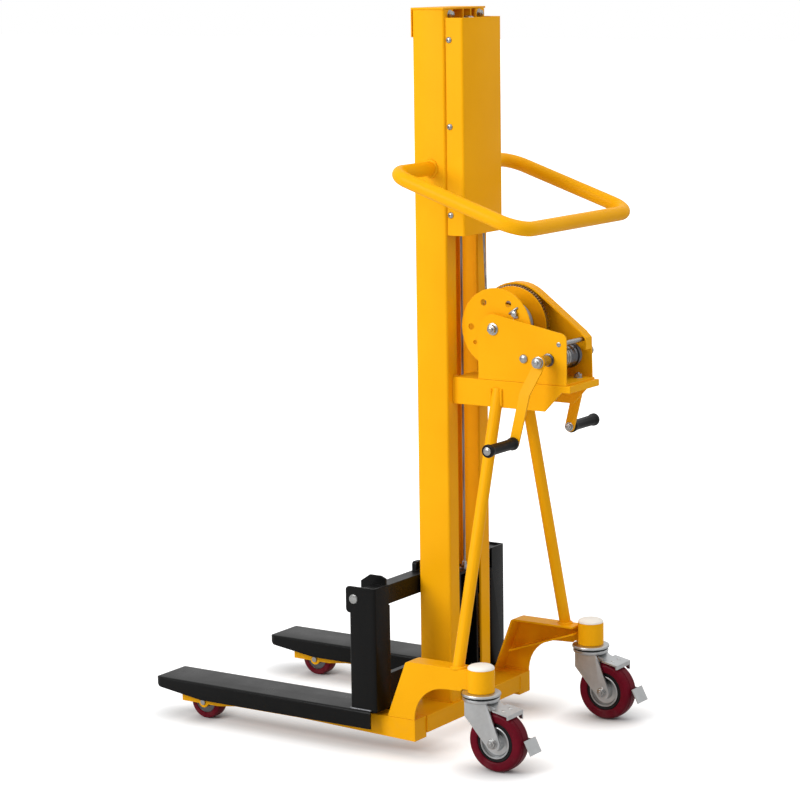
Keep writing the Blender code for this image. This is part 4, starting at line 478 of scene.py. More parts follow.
# Finish names and the record's slots that they stand for
SLOTS = {
    "yellow_coat": "yellow_paint",
    "black_coat": "black_paint",
    "zinc_plate": "zinc",
    "bright_steel": "steel",
    "dark_iron": "dark_steel",
    "rope_wire": "wire_rope",
    "tyre_polyurethane": "wheel_tread",
    "cap_plastic": "white_plastic",
    "grip_plastic": "black_plastic",
}


def finish(name):
    """A finish that the finishes operator has made."""
    return bpy.data.materials[name]


# Shapes


def matrix_to(centre, axis):
    """A matrix that puts Z along an axis and the origin at a centre."""
    turn = Z_AXIS.rotation_difference(Vector(axis)).to_matrix().to_4x4()
    return Matrix.Translation(centre) @ turn


def new_piece(name, shape, finish_name, body, sharp=35.0, tidy=True):
    """Turn a bmesh into a piece that rides on a body."""
    if tidy:
        bmesh.ops.remove_doubles(shape, verts=shape.verts, dist=1e-6)
        bmesh.ops.recalc_face_normals(shape, faces=shape.faces)
    mesh = bpy.data.meshes.new(name)
    shape.to_mesh(mesh)
    shape.free()
    mesh.shade_smooth()
    mesh.set_sharp_from_angle(angle=math.radians(sharp))
    mesh.materials.append(finish(finish_name))
    made = bpy.data.objects.new(name, mesh)
    bpy.context.scene.collection.objects.link(made)
    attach(made, body)
    return made


def body_of(node):
    """The body that a solid rides on."""
    return frame["nodes"][node]["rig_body"]


def ends_of(node):
    """The outward sign and the X of a solid's two ends."""
    low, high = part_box(node)
    return (1.0, high.x), (-1.0, low.x)


def eased(node, finish_name, width, segments=2):
    """A copy of a solid with its edges eased, in place of the solid."""
    shape = bmesh.new()
    shape.from_mesh(frame["nodes"][node].data)
    bmesh.ops.remove_doubles(shape, verts=shape.verts, dist=1e-5)
    bmesh.ops.dissolve_degenerate(shape, edges=shape.edges, dist=1e-5)
    flat = math.radians(0.4)
    bmesh.ops.dissolve_limit(
        shape, angle_limit=flat, verts=shape.verts, edges=shape.edges, use_dissolve_boundaries=False
    )
    made = new_piece(f"{node}_eased", shape, finish_name, body_of(node), sharp=38.0, tidy=False)
    bevel = made.modifiers.new("eased_edges", "BEVEL")
    bevel.width = width
    bevel.segments = segments
    bevel.limit_method = "ANGLE"
    bevel.angle_limit = math.radians(40.0)
    bevel.harden_normals = True
    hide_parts(node)


def add_turned(shape, profile, centre, axis=X_AXIS, steps=64):
    """Add a turned shape. Each profile point is its distance along the axis and its radius."""
    axis = Vector(axis).normalized()
    side = axis.orthogonal().normalized()
    centre = Vector(centre)
    points = [shape.verts.new(centre + axis * along + side * radius) for along, radius in profile]
    edges = [shape.edges.new(pair) for pair in zip(points, points[1:])]
    if profile[0][1] > 1e-9:
        edges.append(shape.edges.new((points[-1], points[0])))
    bmesh.ops.spin(
        shape, geom=points + edges, cent=centre, axis=axis, angle=FULL_TURN, steps=steps, use_merge=True
    )
    bmesh.ops.remove_doubles(shape, verts=shape.verts, dist=1e-7)


def round_corner(centre, radius, start, end, steps=5):
    """Points of an arc, with the angles in degrees."""
    angles = [math.radians(start + (end - start) * i / steps) for i in range(steps + 1)]
    return [(centre[0] + radius * math.cos(a), centre[1] + radius * math.sin(a)) for a in angles]


def mirror_profile(half):
    """A turned profile from its half on the positive side, closed over the middle."""
    return half + [(-along, radius) for along, radius in reversed(half)]


def crowned_profile(half):
    """A tyre's closed profile from its half, which starts at the middle of the tread."""
    full = mirror_profile(list(reversed(half[1:])))
    full.insert(len(full) // 2, half[0])
    return full


def line_shape(points, radius, radii=None, resolution=3, closed=False):
    """A round bar along a line of points, as a new bmesh."""
    data = bpy.data.curves.new("line", "CURVE")
    data.dimensions = "3D"
    data.bevel_depth = radius
    data.bevel_resolution = resolution
    data.use_fill_caps = not closed
    spline = data.splines.new("POLY")
    spline.points.add(len(points) - 1)
    spline.use_cyclic_u = closed
    for index, (spot, point) in enumerate(zip(spline.points, points)):
        spot.co = (*point, 1.0)
        spot.radius = radii[index] if radii else 1.0
    made = bpy.data.objects.new("line", data)
    bpy.context.scene.collection.objects.link(made)
    seen = made.evaluated_get(bpy.context.evaluated_depsgraph_get())
    shape = bmesh.new()
    shape.from_mesh(seen.to_mesh())
    seen.to_mesh_clear()
    bpy.data.objects.remove(made)
    bpy.data.curves.remove(data)
    return shape


def merge_into(shape, *others):
    """Move other bmeshes' parts into one."""
    for other in others:
        mesh = bpy.data.meshes.new("part")
        other.to_mesh(mesh)
        other.free()
        shape.from_mesh(mesh)
        bpy.data.meshes.remove(mesh)
    return shape


def resampled(points, step, closed=False):
    """Points at an even step along a line of points."""
    line = [Vector(point) for point in points]
    if closed:
        line.append(line[0])
    total = sum((b - a).length for a, b in zip(line, line[1:]))
    count = max(3, round(total / step))
    marks = [total * index / count for index in range(count + (not closed))]
    result = []
    passed = 0.0
    index = 0
    for mark in marks:
        while index < len(line) - 2 and passed + (line[index + 1] - line[index]).length < mark:
            passed += (line[index + 1] - line[index]).length
            index += 1
        length = (line[index + 1] - line[index]).length
        share = 0.0 if length == 0.0 else min(1.0, (mark - passed) / length)
        result.append(line[index].lerp(line[index + 1], share))
    return result


def bead_shape(points, radius, closed=False):
    """A weld bead along a line of points: its ripples come from the changing radius."""
    spots = resampled(points, radius * 0.62, closed)
    radii = []
    for index, _ in enumerate(spots):
        ripple = 0.09 * math.cos(index * math.pi)
        drift = 0.08 * math.sin(index * 0.37) + 0.05 * math.sin(index * 0.113 + 1.0)
        radii.append(0.93 + ripple + drift)
    if not closed:
        radii[0] = radii[-1] = 0.45
    return line_shape(spots, radius, radii, 2, closed)


def ring_points(centre, axis, radius, steps=40):
    """Points of a ring round an axis."""
    place = matrix_to(centre, axis)
    angles = [FULL_TURN * index / steps for index in range(steps)]
    return [place @ Vector((radius * math.cos(a), radius * math.sin(a), 0.0)) for a in angles]


def add_hex(shape, centre, axis, radius, height, turn=0.0):
    """A hexagon nut or head with its corners turned off, standing on a centre along an axis."""
    place = matrix_to(centre, axis) @ Matrix.Rotation(turn, 4, "Z")
    place = place @ Matrix.Translation((0.0, 0.0, height / 2.0))
    body = bmesh.new()
    bmesh.ops.create_cone(
        body, cap_ends=True, segments=6, radius1=radius, radius2=radius, depth=height,
        matrix=Matrix.Identity(4),
    )
    top = [edge for edge in body.edges if all(vert.co.z > 0.0 for vert in edge.verts)]
    bmesh.ops.bevel(
        body, geom=top, offset=height * 0.16, segments=2, profile=0.5, affect="EDGES", material=-1
    )
    bmesh.ops.transform(body, matrix=place, verts=body.verts)
    merge_into(shape, body)


def add_round(shape, centre, axis, radius, height, edge=0.0006, steps=40, recess=0.0):
    """A round disc or stud end with an eased edge, standing on a centre along an axis."""
    profile = [(0.0, 0.0), (0.0, radius), (height - edge, radius)]
    profile += [(height - edge * 0.3, radius - edge * 0.3), (height, radius - edge)]
    if recess > 0.0:
        profile += [(height, recess), (height - recess * 0.8, recess * 0.8), (height - recess * 0.8, 0.0)]
    else:
        profile.append((height, 0.0))
    add_turned(shape, profile, centre, axis, steps)


def add_dome(shape, centre, axis, radius, height, steps=40, socket=0.0):
    """A domed head with a small socket, standing on a centre along an axis."""
    profile = [(0.0, 0.0), (0.0, radius), (height * 0.25, radius)]
    for share in (0.25, 0.5, 0.75, 0.92):
        lean = share * math.pi / 2.0
        profile.append((height * (0.25 + 0.75 * math.sin(lean)), radius * math.cos(lean)))
    if socket > 0.0:
        profile = [point for point in profile if point[1] > socket or point[0] <= 0.0]
        profile += [(height * 0.98, socket), (height * 0.45, socket * 0.9), (height * 0.45, 0.0)]
    else:
        profile.append((height, 0.0))
    add_turned(shape, profile, centre, axis, steps)


def add_nut_on_washer(shape, centre, axis, radius, washer, height=None, stud=0.0, turn=0.0):
    """A hexagon nut on its washer, with the threaded end through it where it shows."""
    axis = Vector(axis).normalized()
    height = height or radius * 0.85
    sheet = radius * 0.16
    add_round(shape, centre, axis, washer, sheet, edge=sheet * 0.4)
    add_hex(shape, Vector(centre) + axis * sheet, axis, radius, height, turn)
    if stud > 0.0:
        top = Vector(centre) + axis * (sheet + height * 0.9)
        add_round(shape, top, axis, radius * 0.52, stud, edge=stud * 0.3)


def truck_settings():
    """The scene's settings for the truck."""
    scene = bpy.context.scene
    return scene.truck_colours, scene.truck_sizes, scene.truck_stage


class TruckOperator:
    """What the truck's operators share."""

    bl_options = {"REGISTER", "UNDO"}


class TRUCK_OT_finishes(TruckOperator, Operator):
    """Make the finishes and put them on the solids that keep their own mesh"""

    bl_idname = "truck.finishes"
    bl_label = "Finishes"

    def execute(self, context):
        colours, _, _ = truck_settings()
        yellow, deep = tuple(colours.yellow), tuple(colours.yellow_deep)
        coat_finish("yellow_coat", yellow, deep, (0.34, 0.46), 0.10, (0.60, 0.27, 0.02), specular=0.07)
        black = tuple(colours.black)
        soft_black = tuple(value * 0.7 for value in black)
        worn = (0.016, 0.016, 0.016)
        coat_finish(
            "black_coat", black, soft_black, (0.27, 0.38), 0.18, worn, specular=0.14, dust_amount=0.012
        )
        plated_finish("zinc_plate", tuple(colours.zinc), (0.30, 0.44))
        steel = tuple(colours.steel)
        turned_finish("bright_steel", steel, (900.0, 900.0, 900.0), (0.20, 0.34))
        turned_finish("dark_iron", tuple(colours.iron), (1800.0, 90.0, 90.0), (0.26, 0.40))
        turned_finish("rope_wire", tuple(colours.wire), (1500.0, 1500.0, 700.0), (0.34, 0.48))
        tread = tuple(colours.tread)
        moulded_finish(
            "tyre_polyurethane", tread, tuple(value * 0.72 for value in tread), (0.28, 0.40),
            260.0, 0.00010, 0.08,
        )
        cap = tuple(colours.cap)
        moulded_finish("cap_plastic", cap, tuple(value * 0.96 for value in cap), (0.34, 0.42), 700.0, 0.00005)
        grip = tuple(colours.grip)
        moulded_finish(
            "grip_plastic", grip, tuple(value * 0.7 for value in grip), (0.34, 0.48),
            900.0, 0.00010, 0.14,
        )
        wear = {slot: name for name, slot in SLOTS.items()}
        for node, thing in frame["nodes"].items():
            for place in thing.material_slots:
                slot = place.material.name.split(".")[0]
                if slot not in wear:
                    raise RuntimeError(f"{node} has the material {slot}, which no finish stands for")
                place.material = finish(wear[slot])
        return {"FINISHED"}


class TRUCK_OT_sheet_metal(TruckOperator, Operator):
    """Ease the edges of the sheet and plate pieces"""

    bl_idname = "truck.sheet_metal"
    bl_label = "Sheet metal"

    def execute(self, context):
        single = {
            "mast_head": 0.0006, "rope_cover": 0.0005, "crossbeam": 0.0016, "winch_platform": 0.0012,
            "winch_frame": 0.0009, "winch_drum": 0.0007,
        }
        paired = {
            "mast_channel": 0.0008, "leg": 0.0022, "side_bracket": 0.0012, "strut": 0.0004,
            "crank_arm": 0.0006,
        }
        for node, width in single.items():
            eased(node, "yellow_coat", width)
        for node, width in paired.items():
            for side in SIDES:
                eased(f"{node}_{side}", "yellow_coat", width)
        for node, width in {"carriage_frame": 0.0010, "fork_bar": 0.0016}.items():
            eased(node, "black_coat", width)
        for side in SIDES:
            eased(f"fork_{side}", "black_coat", 0.0020, segments=3)
            eased(f"caster_fork_{side}", "zinc_plate", 0.0009)
            eased(f"caster_brake_{side}", "zinc_plate", 0.0007)
        return {"FINISHED"}


class TRUCK_OT_mast_fittings(TruckOperator, Operator):
    """Add the cover's screws and the bolts at the mast's head"""

    bl_idname = "truck.mast_fittings"
    bl_label = "Mast fittings"

    def execute(self, context):
        _, sizes, _ = truck_settings()
        screws = bmesh.new()
        for sign, face in ends_of("rope_cover"):
            for z in (1.4670, 1.2910, 1.1100):
                add_dome(
                    screws, at(face, 0.0475, z), X_AXIS * sign, sizes.screw_head, sizes.screw_head * 0.62,
                    socket=sizes.screw_head * 0.30,
                )
        new_piece("cover_screws", screws, "bright_steel", "chassis")
        bolts = bmesh.new()
        for x in (0.0560, -0.0560):
            centre = at(x, 0.0385, 1.5180)
            add_nut_on_washer(bolts, centre, Y_AXIS, 0.0075, 0.0095, stud=0.0025, turn=0.3)
        new_piece("head_bolts", bolts, "bright_steel", "chassis")
        return {"FINISHED"}


class TRUCK_OT_push_handle(TruckOperator, Operator):
    """Bend the push handle's tube smoothly and weld it to the mast"""

    bl_idname = "truck.push_handle"
    bl_label = "Push handle"

    def execute(self, context):
        _, sizes, _ = truck_settings()
        radius = 0.0150
        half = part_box("push_handle")[1].x - radius
        slope = math.radians(18.6)
        reach = 0.3194
        y, z = 0.0020, 1.2050
        start = 0.0803
        front, rear = 0.0450, 0.0500
        plan = [(start, 0.0)] + round_corner((half - front, front), front, -90.0, 0.0, 16)
        plan += round_corner((half - rear, reach - rear), rear, 0.0, 90.0, 16)
        plan += [(-x, v) for x, v in reversed(plan)]
        line = [at(x, y + v * math.cos(slope), z - v * math.sin(slope)) for x, v in plan]
        tube = line_shape(resampled(line, 0.006), radius, resolution=12)
        handle = new_piece("push_handle_tube", tube, "yellow_coat", "chassis", sharp=50.0)
        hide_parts("push_handle")
        welds = bmesh.new()
        for sign in SIDES.values():
            ring = ring_points(at(sign * 0.0812, y, z), X_AXIS, radius + 0.0010)
            merge_into(welds, bead_shape(ring, sizes.bead * 1.5, closed=True))
        new_piece("handle_welds", welds, "yellow_coat", "chassis", sharp=60.0)
        return {"FINISHED"}


class TRUCK_OT_frame_welds(TruckOperator, Operator):
    """Lay the weld beads of the frame, the platform and the forks"""

    bl_idname = "truck.frame_welds"
    bl_label = "Welds"

    def execute(self, context):
        _, sizes, _ = truck_settings()
        bead = sizes.bead
        welds = bmesh.new()
        platform_low, platform_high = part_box("winch_platform")
        leg_low, leg_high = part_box("leg_left")
        beam_low, beam_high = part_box("crossbeam")
        for sign in SIDES.values():
            side = sign * platform_high.x
            front = platform_low.y
            top, bottom = platform_high.z, platform_low.z
            seam = front + 0.0010
            path = [Vector((side, seam, bottom + 0.003)), Vector((side, seam, top - 0.002))]
            merge_into(welds, bead_shape(path, bead))
            over = [Vector((side, seam, top)), Vector((sign * 0.044, seam, top))]
            merge_into(welds, bead_shape(over, bead))
            strut = middle("strut_left").y
            for hand in (1.0, -1.0):
                edge = strut + hand * 0.0125
                out = side + sign * 0.0008
                path = [Vector((out, edge, bottom + 0.002)), Vector((out, edge, 0.7550))]
                merge_into(welds, bead_shape(path, bead * 1.4))
            foot = ring_points(Vector((sign * 0.2160, strut, 0.2005)), Z_AXIS, 0.0137)
            merge_into(welds, bead_shape(foot, bead * 1.5, closed=True))
            inner = sign * leg_low.x
            for y in (beam_low.y, beam_high.y):
                path = [Vector((inner, y, beam_low.z + 0.004)), Vector((inner, y, beam_high.z - 0.004))]
                merge_into(welds, bead_shape(path, bead))
            web = sign * 0.0800
            path = [at(web, -0.0350, 0.0775), at(web, 0.0350, 0.0775)]
            merge_into(welds, bead_shape(path, bead))
            flange = [at(sign * 0.0450, 0.0385, 0.0775), at(sign * 0.0770, 0.0385, 0.0775)]
            merge_into(welds, bead_shape(flange, bead))
            bracket_inner = sign * (leg_high.x - 0.0430)
            path = [at(bracket_inner, -0.0190, 0.0778), at(sign * 0.2250, -0.0190, 0.0778)]
            merge_into(welds, bead_shape(path, bead))
            outer = sign * (leg_high.x - 0.0045)
            rear = [at(outer, -0.0140, 0.0778), at(outer, 0.0400, 0.0778)]
            merge_into(welds, bead_shape(rear, bead))
        new_piece("frame_welds", welds, "yellow_coat", "chassis", sharp=60.0)

        feet = bmesh.new()
        for sign in SIDES.values():
            low_y, high_y = MAST_Y - 0.0990, MAST_Y - 0.0460
            z = 0.0898
            corners = [
                Vector((sign * 0.1950, high_y, z)), Vector((sign * 0.1950, low_y, z)),
                Vector((sign * 0.2550, low_y, z)), Vector((sign * 0.2550, high_y, z)),
            ]
            merge_into(feet, bead_shape(corners, bead * 1.15))
        # The fork foot welds are black coated; the lighter bare iron finish they get here stands in for their
        # gloss, as painted highlight.
        new_piece("fork_foot_welds", feet, "dark_iron", "carriage", sharp=60.0)
        return {"FINISHED"}


class TRUCK_OT_winch_fittings(TruckOperator, Operator):
    """Add the winch's nuts, washers, base bolts, rivet and bushings"""

    bl_idname = "truck.winch_fittings"
    bl_label = "Winch fittings"

    def execute(self, context):
        ends = ends_of("winch_frame")
        drum = middle("drum_axle")
        idler = middle("idler_gear")
        crank = middle("crank_shaft")
        still = bmesh.new()
        for sign, face in ends:
            centre = Vector((face, drum.y, drum.z))
            add_nut_on_washer(
                still, centre, X_AXIS * sign, 0.0098, 0.0128, height=0.0072, stud=0.0040, turn=0.35
            )
        axle = new_piece("drum_axle_nuts", still, "bright_steel", body_of("drum_axle"))
        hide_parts("drum_axle")

        base = bmesh.new()
        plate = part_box("winch_frame")[0].z + 0.0035
        for x, y in ((0.0380, 0.1300), (-0.0300, 0.1300), (0.0380, 0.2840), (-0.0351, 0.2840)):
            foot, turn = at(x, y, plate), x * 20.0
            add_nut_on_washer(base, foot, Z_AXIS, 0.0078, 0.0100, height=0.0070, stud=0.0035, turn=turn)
        new_piece("winch_base_bolts", base, "bright_steel", "chassis")

        rod = middle("spacer_rod")
        tips = bmesh.new()
        for sign, face in ends:
            tip = Vector((face - sign * 0.0006, rod.y, rod.z))
            add_round(tips, tip, X_AXIS * sign, 0.0050, 0.0012, recess=0.0022)
        new_piece("spacer_ends", tips, "bright_steel", "chassis")

        collars = bmesh.new()
        collar = [(0.0, 0.0112), (0.0, 0.0132), (0.0014, 0.0136), (0.0030, 0.0132)]
        collar += [(0.0034, 0.0122), (0.0034, 0.0112)]
        for sign, face in ends:
            add_turned(collars, collar, Vector((face + sign * 0.0004, crank.y, crank.z)), X_AXIS * sign, 48)
        new_piece("crank_bushings", collars, "dark_iron", body_of("crank_shaft"))
        heads = bmesh.new()
        for sign, face in ends:
            add_dome(heads, Vector((face + sign * 0.0002, idler.y, idler.z)), X_AXIS * sign, 0.0092, 0.0048)
        new_piece("idler_heads", heads, "bright_steel", body_of("idler_gear"))
        self.make_clamp()
        self.make_brake_rings(crank)
        return {"FINISHED"}

    def make_clamp(self):
        """The nut on the rope's clamp, and the rope's end under its bar."""
        low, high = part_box("rope_clamp")
        centre = (low + high) / 2.0
        drum = middle("winch_drum")
        out = Vector((0.0, centre.y - drum.y, centre.z - drum.z)).normalized()
        across = X_AXIS.cross(out)
        nut = bmesh.new()
        add_hex(nut, Vector((high.x - 0.0042, centre.y, centre.z)), X_AXIS, 0.0068, 0.0048, 0.4)
        new_piece("rope_clamp_nut", nut, "bright_steel", body_of("rope_clamp"))
        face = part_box("winch_drum")[1].x
        path = []
        for share in (-1.0, -0.9, -0.6, -0.2, 0.2, 0.6, 0.9, 1.0):
            rise = 0.0026 - 0.0050 * max(0.0, abs(share) - 0.85) / 0.15
            path.append(Vector((face + rise, centre.y, centre.z)) + out * share * 0.0125 + across * 0.0075)
        end = line_shape(path, 0.0022, resolution=3)
        new_piece("rope_end", end, "rope_wire", body_of("rope_clamp"))

    def make_brake_rings(self, crank):
        """Bright rings near the ratchet and a dark knurled disc at the far end of the brake hub."""
        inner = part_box("brake_hub")[0].x
        disc = bmesh.new()
        edge = [(0.0, 0.0228), (0.0, 0.0262), (0.0008, 0.0268)]
        for groove in (0.0030, 0.0058):
            edge += [(groove - 0.0006, 0.0268), (groove, 0.0261), (groove + 0.0006, 0.0268)]
        edge += [(0.0080, 0.0268), (0.0088, 0.0260), (0.0088, 0.0228)]
        add_turned(disc, edge, Vector((inner + 0.0006, crank.y, crank.z)), X_AXIS, 72)
        new_piece("brake_disc", disc, "dark_iron", body_of("brake_hub"))
        rings = bmesh.new()
        edge = [(0.0, 0.0226), (0.0, 0.0234), (0.0008, 0.0240)]
        edge += [(0.0044, 0.0240), (0.0052, 0.0234), (0.0052, 0.0226)]
        for start in (0.0060, 0.0140, 0.0220, 0.0300):
            add_turned(rings, edge, Vector((start, crank.y, crank.z)), X_AXIS, 72)
        new_piece("brake_rings", rings, "bright_steel", body_of("brake_hub"))


class TRUCK_OT_cranks(TruckOperator, Operator):
    """Add the crank nuts and the fluted grips with their end discs"""

    bl_idname = "truck.cranks"
    bl_label = "Cranks"

    def execute(self, context):
        _, sizes, _ = truck_settings()
        shaft = middle("crank_shaft")
        nuts = bmesh.new()
        for side, sign in SIDES.items():
            low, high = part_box(f"crank_arm_{side}")
            hub_face = {"left": 0.0990, "right": 0.0995}[side]
            centre = Vector((sign * (hub_face + 0.0003), shaft.y, shaft.z))
            add_nut_on_washer(
                nuts, centre, X_AXIS * sign, 0.0095, 0.0122, height=0.0070, stud=0.0035, turn=0.5
            )
            grip_low, grip_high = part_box(f"crank_grip_{side}")
            pivot = (grip_low + grip_high) / 2.0
            inner = min(abs(grip_low.x), abs(grip_high.x))
            outer = max(abs(grip_low.x), abs(grip_high.x))
            self.make_grip(side, sign, pivot, inner, outer, sizes.grip_flutes)
            ends = bmesh.new()
            disc = Vector((sign * (outer + 0.0001), pivot.y, pivot.z))
            add_round(ends, disc, X_AXIS * sign, 0.0085, 0.0016)
            tip = Vector((sign * (max(abs(low.x), abs(high.x)) - 0.0012), pivot.y, pivot.z))
            add_dome(ends, tip, X_AXIS * sign, 0.0068, 0.0026)
            back = Vector((sign * (inner - 0.0056), pivot.y, pivot.z))
            add_nut_on_washer(ends, back, X_AXIS * -sign, 0.0080, 0.0098, height=0.0050, stud=0.0020)
            new_piece(f"grip_bolt_{side}", ends, "bright_steel", body_of(f"crank_arm_{side}"))
        new_piece("crank_nuts", nuts, "bright_steel", body_of("crank_shaft"))
        return {"FINISHED"}

    def make_grip(self, side, sign, pivot, inner, outer, flutes):
        """One grip: flared at both ends, with shallow flutes between them."""
        end = (outer - inner) / 2.0
        middle_x = sign * (inner + outer) / 2.0
        wide, slim, bore = 0.0135, 0.0115, 0.0053
        half = [(0.0, slim), (end - 0.016, slim), (end - 0.011, slim + 0.0008)]
        half += [(end - 0.0085, wide - 0.0003), (end - 0.006, wide), (end - 0.0016, wide)]
        half += [(end - 0.0004, wide - 0.0005), (end, wide - 0.0016), (end, bore)]
        profile = list(reversed([(-along, radius) for along, radius in half[1:]])) + half
        grip = bmesh.new()
        add_turned(grip, profile, Vector((middle_x, pivot.y, pivot.z)), X_AXIS, flutes * 6)
        run = end - 0.015
        loose = [edge for edge in grip.edges if abs(edge.verts[0].co.x - edge.verts[1].co.x) > run]
        bmesh.ops.subdivide_edges(grip, edges=loose, cuts=6, use_grid_fill=True)
        for vert in grip.verts:
            along = abs(vert.co.x - middle_x)
            radial = Vector((0.0, vert.co.y - pivot.y, vert.co.z - pivot.z))
            if along < run + 0.001 and radial.length > bore * 1.5:
                angle = math.atan2(radial.z, radial.y)
                dip = 0.5 + 0.5 * math.cos(angle * flutes)
                fade = min(1.0, (run + 0.001 - along) / 0.012)
                vert.co -= radial.normalized() * 0.0007 * dip * fade
        made = new_piece(f"crank_grip_{side}_fluted", grip, "grip_plastic", body_of(f"crank_grip_{side}"))
        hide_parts(f"crank_grip_{side}")


class TRUCK_OT_casters(TruckOperator, Operator):
    """Turn the casters' tyres, hubs, heads and caps smoothly and add their nuts"""

    bl_idname = "truck.casters"
    bl_label = "Casters"

    def execute(self, context):
        for side in SIDES:
            self.make_tyre(side)
            self.make_hub(side)
            self.make_head(side)
            self.make_cap(side)
            self.make_nuts(side)
            self.make_tab_pips(side)
        return {"FINISHED"}

    def make_tyre(self, side):
        """The tyre: a crowned tread with two moulded lines, round shoulders and a flat side wall."""
        centre = middle(f"caster_tyre_{side}")
        low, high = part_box(f"caster_tyre_{side}")
        half = (high.x - low.x) / 2.0
        rim = (high.z - low.z) / 2.0
        line = half * 0.36
        sunk = rim - 0.0011
        profile = [(0.0, rim), (line, rim - 0.0002), (line + 0.0004, sunk), (line + 0.0022, sunk)]
        profile += [(line + 0.0026, rim - 0.0006), (half * 0.55, rim - 0.0010)]
        profile += round_corner((half - 0.0075, rim - 0.0089), 0.0075, 78.0, 8.0, 8)
        profile += [(half - 0.0002, rim - 0.0105), (half - 0.0004, 0.0440)]
        profile += [(half - 0.0016, 0.0418), (half - 0.0030, 0.0413)]
        shape = bmesh.new()
        add_turned(shape, crowned_profile(profile), centre, X_AXIS, 96)
        body = body_of(f"caster_tyre_{side}")
        made = new_piece(f"caster_tyre_{side}_smooth", shape, "tyre_polyurethane", body, sharp=45.0)
        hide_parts(f"caster_tyre_{side}")

    def make_hub(self, side):
        """The hub: a black core ring, two pressed dished rims and a bearing boss."""
        centre = middle(f"caster_hub_{side}")
        low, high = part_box(f"caster_hub_{side}")
        room = (high.x - low.x) / 2.0
        body = body_of(f"caster_hub_{side}")
        core = bmesh.new()
        half = [(0.0160, 0.0300), (0.0172, 0.0340), (0.0172, 0.0400), (0.0164, 0.0409)]
        add_turned(core, mirror_profile(half), centre, X_AXIS, 96)
        new_piece(f"caster_core_{side}", core, "grip_plastic", body)
        rims = bmesh.new()
        profile = [(0.0164, 0.0342), (0.0184, 0.0338), (0.0192, 0.0327), (0.0190, 0.0314), (0.0172, 0.0305)]
        profile += [(0.0126, 0.0292), (0.0104, 0.0272), (0.0098, 0.0225), (0.0106, 0.0182), (0.0150, 0.0160)]
        profile += [(0.0188, 0.0152), (0.0198, 0.0142), (0.0198, 0.0115), (0.0186, 0.0100), (0.0186, 0.0064)]
        profile += [(0.0030, 0.0064), (0.0030, 0.0342)]
        for hand in (1.0, -1.0):
            add_turned(rims, profile, centre, X_AXIS * hand, 96)
        made = new_piece(f"caster_rims_{side}", rims, "zinc_plate", body)
        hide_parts(f"caster_hub_{side}")
        sleeve = bmesh.new()
        half = [(room, 0.0064), (room, 0.0092), (0.0187, 0.0092), (0.0187, 0.0064)]
        add_turned(sleeve, mirror_profile(half), centre, X_AXIS, 48)
        new_piece(f"caster_sleeve_{side}", sleeve, "bright_steel", body)

    def make_head(self, side):
        """The swivel head: a rolled ring over the race, and the race's dark seam under it."""
        centre = middle(f"caster_head_{side}")
        low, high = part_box(f"caster_head_{side}")
        stem = Vector((centre.x, centre.y, 0.0))
        ring = (high.x - low.x) / 2.0
        base = low.z
        top = base + 0.0090
        lower = base + 0.0026
        profile = [(lower, 0.0), (lower, ring - 0.0010), (lower + 0.0010, ring), (top - 0.0026, ring)]
        profile += [(top - 0.0010, ring - 0.0010), (top - 0.0003, ring - 0.0030)]
        profile += [(top, ring - 0.0060), (top, 0.0)]
        shape = bmesh.new()
        add_turned(shape, profile, stem, Z_AXIS, 96)
        made = new_piece(f"caster_head_{side}_rolled", shape, "zinc_plate", body_of(f"caster_head_{side}"))
        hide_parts(f"caster_head_{side}")
        seam = bmesh.new()
        under, over, rim = base - 0.0006, base + 0.0025, ring - 0.0030
        add_turned(seam, [(under, 0.0), (under, rim), (over, rim), (over, 0.0)], stem, Z_AXIS, 96)
        new_piece(f"caster_seam_{side}", seam, "grip_plastic", body_of(f"caster_head_{side}"))

    def make_cap(self, side):
        """The domed cap over the stem's tube."""
        low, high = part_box(f"stem_cap_{side}")
        centre = (low + high) / 2.0
        stem = Vector((centre.x, centre.y, 0.0))
        base = high.z - 0.0065
        shoulder = base + 0.0018
        rise = 0.0075
        edge = (high.x - low.x) / 2.0
        profile = [(base, 0.0), (base, edge), (shoulder, edge)]
        for share in (0.12, 0.25, 0.4, 0.55, 0.7, 0.85):
            angle = share * math.pi / 2.0
            profile.append((shoulder + rise * math.sin(angle), edge * math.cos(angle) ** 0.75))
        profile.append((shoulder + rise, 0.0))
        shape = bmesh.new()
        add_turned(shape, profile, stem, Z_AXIS, 72)
        made = new_piece(f"stem_cap_{side}_domed", shape, "cap_plastic", body_of(f"stem_cap_{side}"))
        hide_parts(f"stem_cap_{side}")

    def make_tab_pips(self, side):
        """Two pressed pips on the caster's tab."""
        stem = middle(f"caster_head_{side}")
        tilt = Vector((0.0, 0.186, 0.983))
        shape = bmesh.new()
        for across in (0.0130, -0.0130):
            add_dome(shape, Vector((stem.x + across, stem.y + 0.0620, 0.1300)), tilt, 0.0044, 0.0018)
        new_piece(f"caster_pips_{side}", shape, "zinc_plate", body_of(f"caster_fork_{side}"))

    def make_nuts(self, side):
        """The axle's hexagon head and nut on their washers."""
        axle = middle(f"caster_hub_{side}")
        stem = middle(f"caster_head_{side}").x
        shape = bmesh.new()
        leg = 0.0268
        near = Vector((stem + leg, axle.y, axle.z))
        add_nut_on_washer(shape, near, X_AXIS, 0.0094, 0.0112, height=0.0062, stud=0.0036)
        far = Vector((stem - leg - 0.0033, axle.y, axle.z))
        add_nut_on_washer(shape, far, -X_AXIS, 0.0094, 0.0112, height=0.0062)
        pin, far_end = 0.0058, -0.0300
        profile = [(far_end, 0.0), (far_end, pin), (leg, pin), (leg, 0.0)]
        add_turned(shape, profile, Vector((stem, axle.y, axle.z)), X_AXIS, 32)
        made = new_piece(f"caster_axle_{side}_nuts", shape, "bright_steel", body_of(f"caster_axle_{side}"))
        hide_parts(f"caster_axle_{side}")


